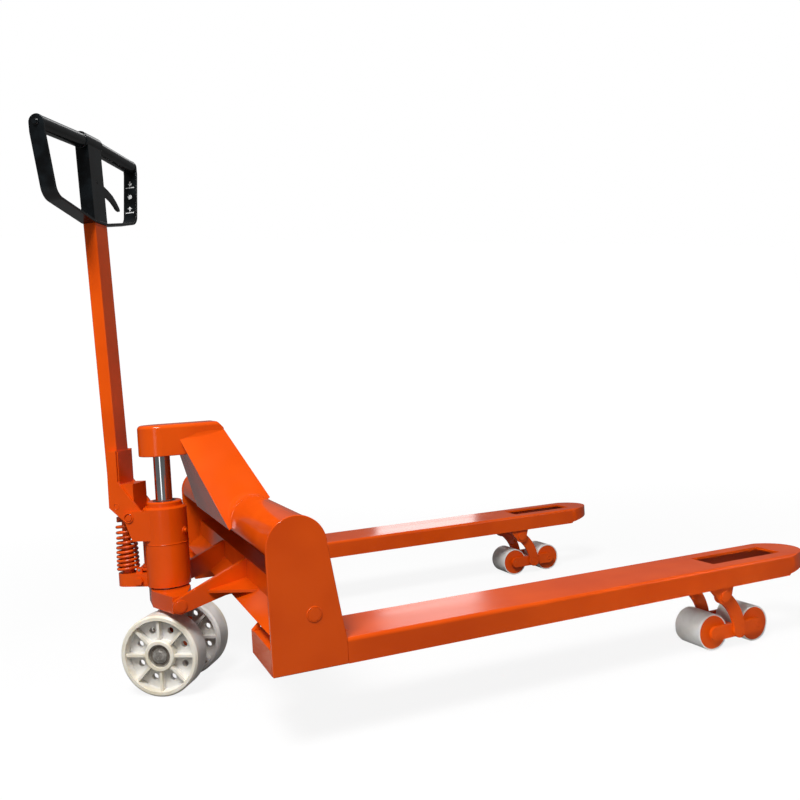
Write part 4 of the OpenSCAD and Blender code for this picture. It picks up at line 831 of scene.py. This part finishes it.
class TRUCK_OT_handle(bpy.types.Operator):
    """Handle base, tube and the black hand loop"""

    bl_idname = "truck.handle"
    bl_label = "Handle"

    def execute(self, context):
        e = looks().edges
        soften(["handle_base"], e.casting, "enamel_cast")
        square = 0.003  # rounded edges of the square tube and post
        soften(["handle_tube"], square, "enamel", 3)
        soften(["loop_strap", "grip_rail", "control_lever", "rail_bolts"], e.sheet, "black")
        soften(["loop_post"], square, "black", 3)
        soften(["press_roller"], e.sheet * 0.6, "steel")
        soften(["press_roller_pin"], e.sheet * 0.6, "enamel")
        soften(["control_lever_pin"], e.sheet * 0.6, "black")
        # Marks stencilled inside the left strap, from the top: lower, middle and raise; outlines in millimetres
        c, s = math.cos(LEAN), math.sin(LEAN)
        slope = unit(np.array(STRAP_RISE))
        bar = np.array([[-11, -1.3], [11, -1.3], [11, 1.3], [-11, 1.3]])
        arrow = np.array([[-1.7, 0], [1.7, 0], [1.7, 6], [6, 6], [0, 13], [-6, 6], [-1.7, 6]])
        turn = np.linspace(0, 2 * np.pi, 24, endpoint=False)
        dot = 5.6 * np.stack([np.cos(turn), np.sin(turn)], -1)
        marks = (("lower_bar", bar - [0, 9], 86), ("lower_arrow", arrow[::-1] * [1, -1] + [0, 8], 86),
                 ("middle_dot", dot, 52), ("raise_bar", bar - [0, 9], 19), ("raise_arrow", arrow - [0, 5], 19))
        for name, outline, up in marks:
            # Outline carried through the ink's thickness, on the strap's sloping inner face
            x, v = outline[:, 0], outline[:, 1] + up
            rows = []
            for off in (0.3, -0.3):
                y = STRAP_FOOT[0] + v * slope[0] - off * slope[1]
                z = STRAP_FOOT[1] + v * slope[1] + off * slope[0]
                rows.append(from_front(x * c - z * s - TUBE_BACK, y, x * s + z * c + BASE_TOP))
            put("lever_mark_" + name, np.stack(rows), capped(2, len(x)), "handle", "stencil",
                smooth=False, turn=True)
        return {"FINISHED"}


class TRUCK_OT_stage(bpy.types.Operator):
    """Pale floor, soft lights and the camera"""

    bl_idname = "truck.stage"
    bl_label = "Studio"

    def execute(self, context):
        s = looks().stage
        scene = context.scene
        # Floor: one large sheet, flat from 8 m before to 8 m behind the truck, where it curves up in a quarter circle
        rows, cols, flat, bend, half = 60, 30, 0.7, 3, 8
        v = np.linspace(0, 1, rows)
        turn = (v - flat) / (1 - flat) * np.pi / 2
        sweep = np.where(v < flat, v / flat * 2 * half - half, half + bend * np.sin(turn))
        rise = np.where(v < flat, 0, bend * (1 - np.cos(turn)))
        x = np.linspace(-14, 14, cols)
        pts = np.stack(np.broadcast_arrays(x, sweep[:, None], rise[:, None]), -1)
        mesh = bpy.data.meshes.new("studio_floor")
        mesh.from_pydata(pts.reshape(-1, 3).tolist(), [], grid_faces(rows, cols, wrap=False).tolist())
        mesh.polygons.foreach_set("use_smooth", np.ones(len(mesh.polygons), bool))
        m, t, where = start("studio_paper")
        # To the camera it is white far out and a little greyer near the truck; in reflections it is dim
        ray = add(t, "LightPath").node.outputs
        mirrored = add(t, "Math", {"operation": "MAXIMUM"}, {"Value": ray["Is Glossy Ray"],
                                                             "Value_001": ray["Is Transmission Ray"]})
        far = add(t, "VectorMath", {"operation": "LENGTH"}, {"Vector": where})
        white = add(t, "MapRange", None, {"Value": far, "From Min": 1.2, "From Max": 4.5, "To Min": 0.88,
                                          "To Max": 1.0})
        seen = add(t, "MapRange", None, {"Value": mirrored, "To Min": 0.0, "To Max": 0.1})
        glow = add(t, "Math", {"operation": "MULTIPLY_ADD"}, {"Value": ray["Is Camera Ray"], "Value_001": white,
                                                              "Value_002": seen})
        close(m, base_color=linear("5C5C5C"), roughness=0.8, specular_ior_level=0.1, emission_color=(1, 1, 1, 1),
              emission_strength=glow)
        mesh.materials.append(m)
        floor = bpy.data.objects.new("studio_floor", mesh)
        scene.collection.objects.link(floor)

        world = bpy.data.worlds.new("studio_room")
        world.use_nodes = True
        t = world.node_tree
        t.nodes.clear()
        # White to the camera; in reflections a pale backdrop behind the truck and a darker room in front of it
        ray = add(t, "LightPath").node.outputs
        seen = add(t, "Math", {"operation": "MAXIMUM"}, {"Value": ray["Is Camera Ray"],
                                                         "Value_001": ray["Is Transmission Ray"]})
        way = add(t, "SeparateXYZ", None, {"Vector": add(t, "TexCoord")}).node.outputs
        room = add(t, "MapRange", None, {"Value": way["Y"], "From Min": -0.35, "From Max": 0.45, "To Min": 0.05,
                                         "To Max": 0.18})
        lit = add(t, "Mix", None, {"Factor": ray["Is Glossy Ray"], "A": s.sky, "B": room})
        strength = add(t, "Math", {"operation": "MAXIMUM"}, {"Value": lit, "Value_001": seen})
        background = add(t, "Background", None, {"Color": (1, 1, 1, 1), "Strength": strength})
        add(t, "OutputWorld", None, {"Surface": background})
        scene.world = world

        def softbox(name, place, target, size, power, spread=180):
            """Rectangular light at a place, turned to its target; spread in degrees."""
            light = bpy.data.lights.new(name, "AREA")
            light.shape = "RECTANGLE"
            light.size, light.size_y = size
            light.energy = power
            light.spread = math.radians(spread)
            obj = bpy.data.objects.new(name, light)
            obj.location = place
            obj.rotation_euler = (Vector(target) - Vector(place)).to_track_quat("-Z", "Y").to_euler()
            scene.collection.objects.link(obj)

        softbox("key_softbox", (-1.6, -1.8, 3.4), (0, 0, 0.3), (1.3, 1.3), s.key_power)
        softbox("fill_softbox", (1.5, -1.2, 0.95), (0.7, -0.4, 0.1), (0.8, 0.6), s.fill_power)
        softbox("back_strip", (1.35, 2.9, 0.95), (0.1, 0, 0.2), (0.65, 0.9), s.rim_power)
        softbox("top_strip", (0.6, 2.1, 2.9), (-0.7, 0, 1.2), (0.7, 0.7), s.top_power)
        softbox("window_strip", (-2.08, -2.14, 0.6), (-0.6, 0, 0.4), (0.55, 1.0), s.window_power)
        softbox("low_grid", (-0.6, -1.3, 0.3), (0.66, -0.45, 0.03), (0.3, 0.2), s.low_power, 25)

        camera = bpy.data.cameras.new("photo_camera")
        camera.lens = s.lens
        camera.sensor_width = 36.0
        camera.clip_end = 100
        obj = bpy.data.objects.new("photo_camera", camera)
        # Directions and place fitted to the photo
        right = Vector((0.9191, -0.3898, -0.05754))
        up = Vector((0.0632, 0.00166, 0.99804))
        turn = Matrix((right, up, right.cross(up))).transposed()
        obj.matrix_world = Matrix.Translation((AXIS_X - 0.2192, -1.9573, 0.6761)) @ turn.to_4x4()
        scene.collection.objects.link(obj)
        scene.camera = obj
        scene.view_settings.view_transform = "Standard"
        return {"FINISHED"}


PIECES = (
    TRUCK_OT_welded_frame, TRUCK_OT_welds, TRUCK_OT_linkage, TRUCK_OT_pump, TRUCK_OT_spring, TRUCK_OT_wheels,
    TRUCK_OT_handle, TRUCK_OT_stage,
)


class TRUCK_PT_looks(bpy.types.Panel):
    """Lists the pieces of the pallet truck"""

    bl_idname = "TRUCK_PT_looks"
    bl_label = "Pallet Truck"
    bl_space_type = "VIEW_3D"
    bl_region_type = "UI"
    bl_category = "Pallet Truck"

    def draw(self, context):
        settings = context.scene.truck_looks
        for group in ("enamel", "edges", "welds", "spring", "stage"):
            part = getattr(settings, group)
            box = self.layout.box()
            for key in part.__annotations__:
                box.prop(part, key)
        for piece in PIECES:
            self.layout.operator(piece.bl_idname)


CLASSES = (
    EnamelSettings, EdgeSettings, WeldSettings, SpringSettings, StageSettings, TruckLooks, *PIECES, TRUCK_PT_looks,
)


def register():
    for c in CLASSES:
        bpy.utils.register_class(c)
    bpy.types.Scene.truck_looks = bpy.props.PointerProperty(type=TruckLooks)


def unregister():
    del bpy.types.Scene.truck_looks
    for c in reversed(CLASSES):
        bpy.utils.unregister_class(c)


def main():
    """Builds every piece in order."""
    register()
    for piece in PIECES:
        space, name = piece.bl_idname.split(".")
        getattr(getattr(bpy.ops, space), name)()


if __name__ == "__main__":
    main()
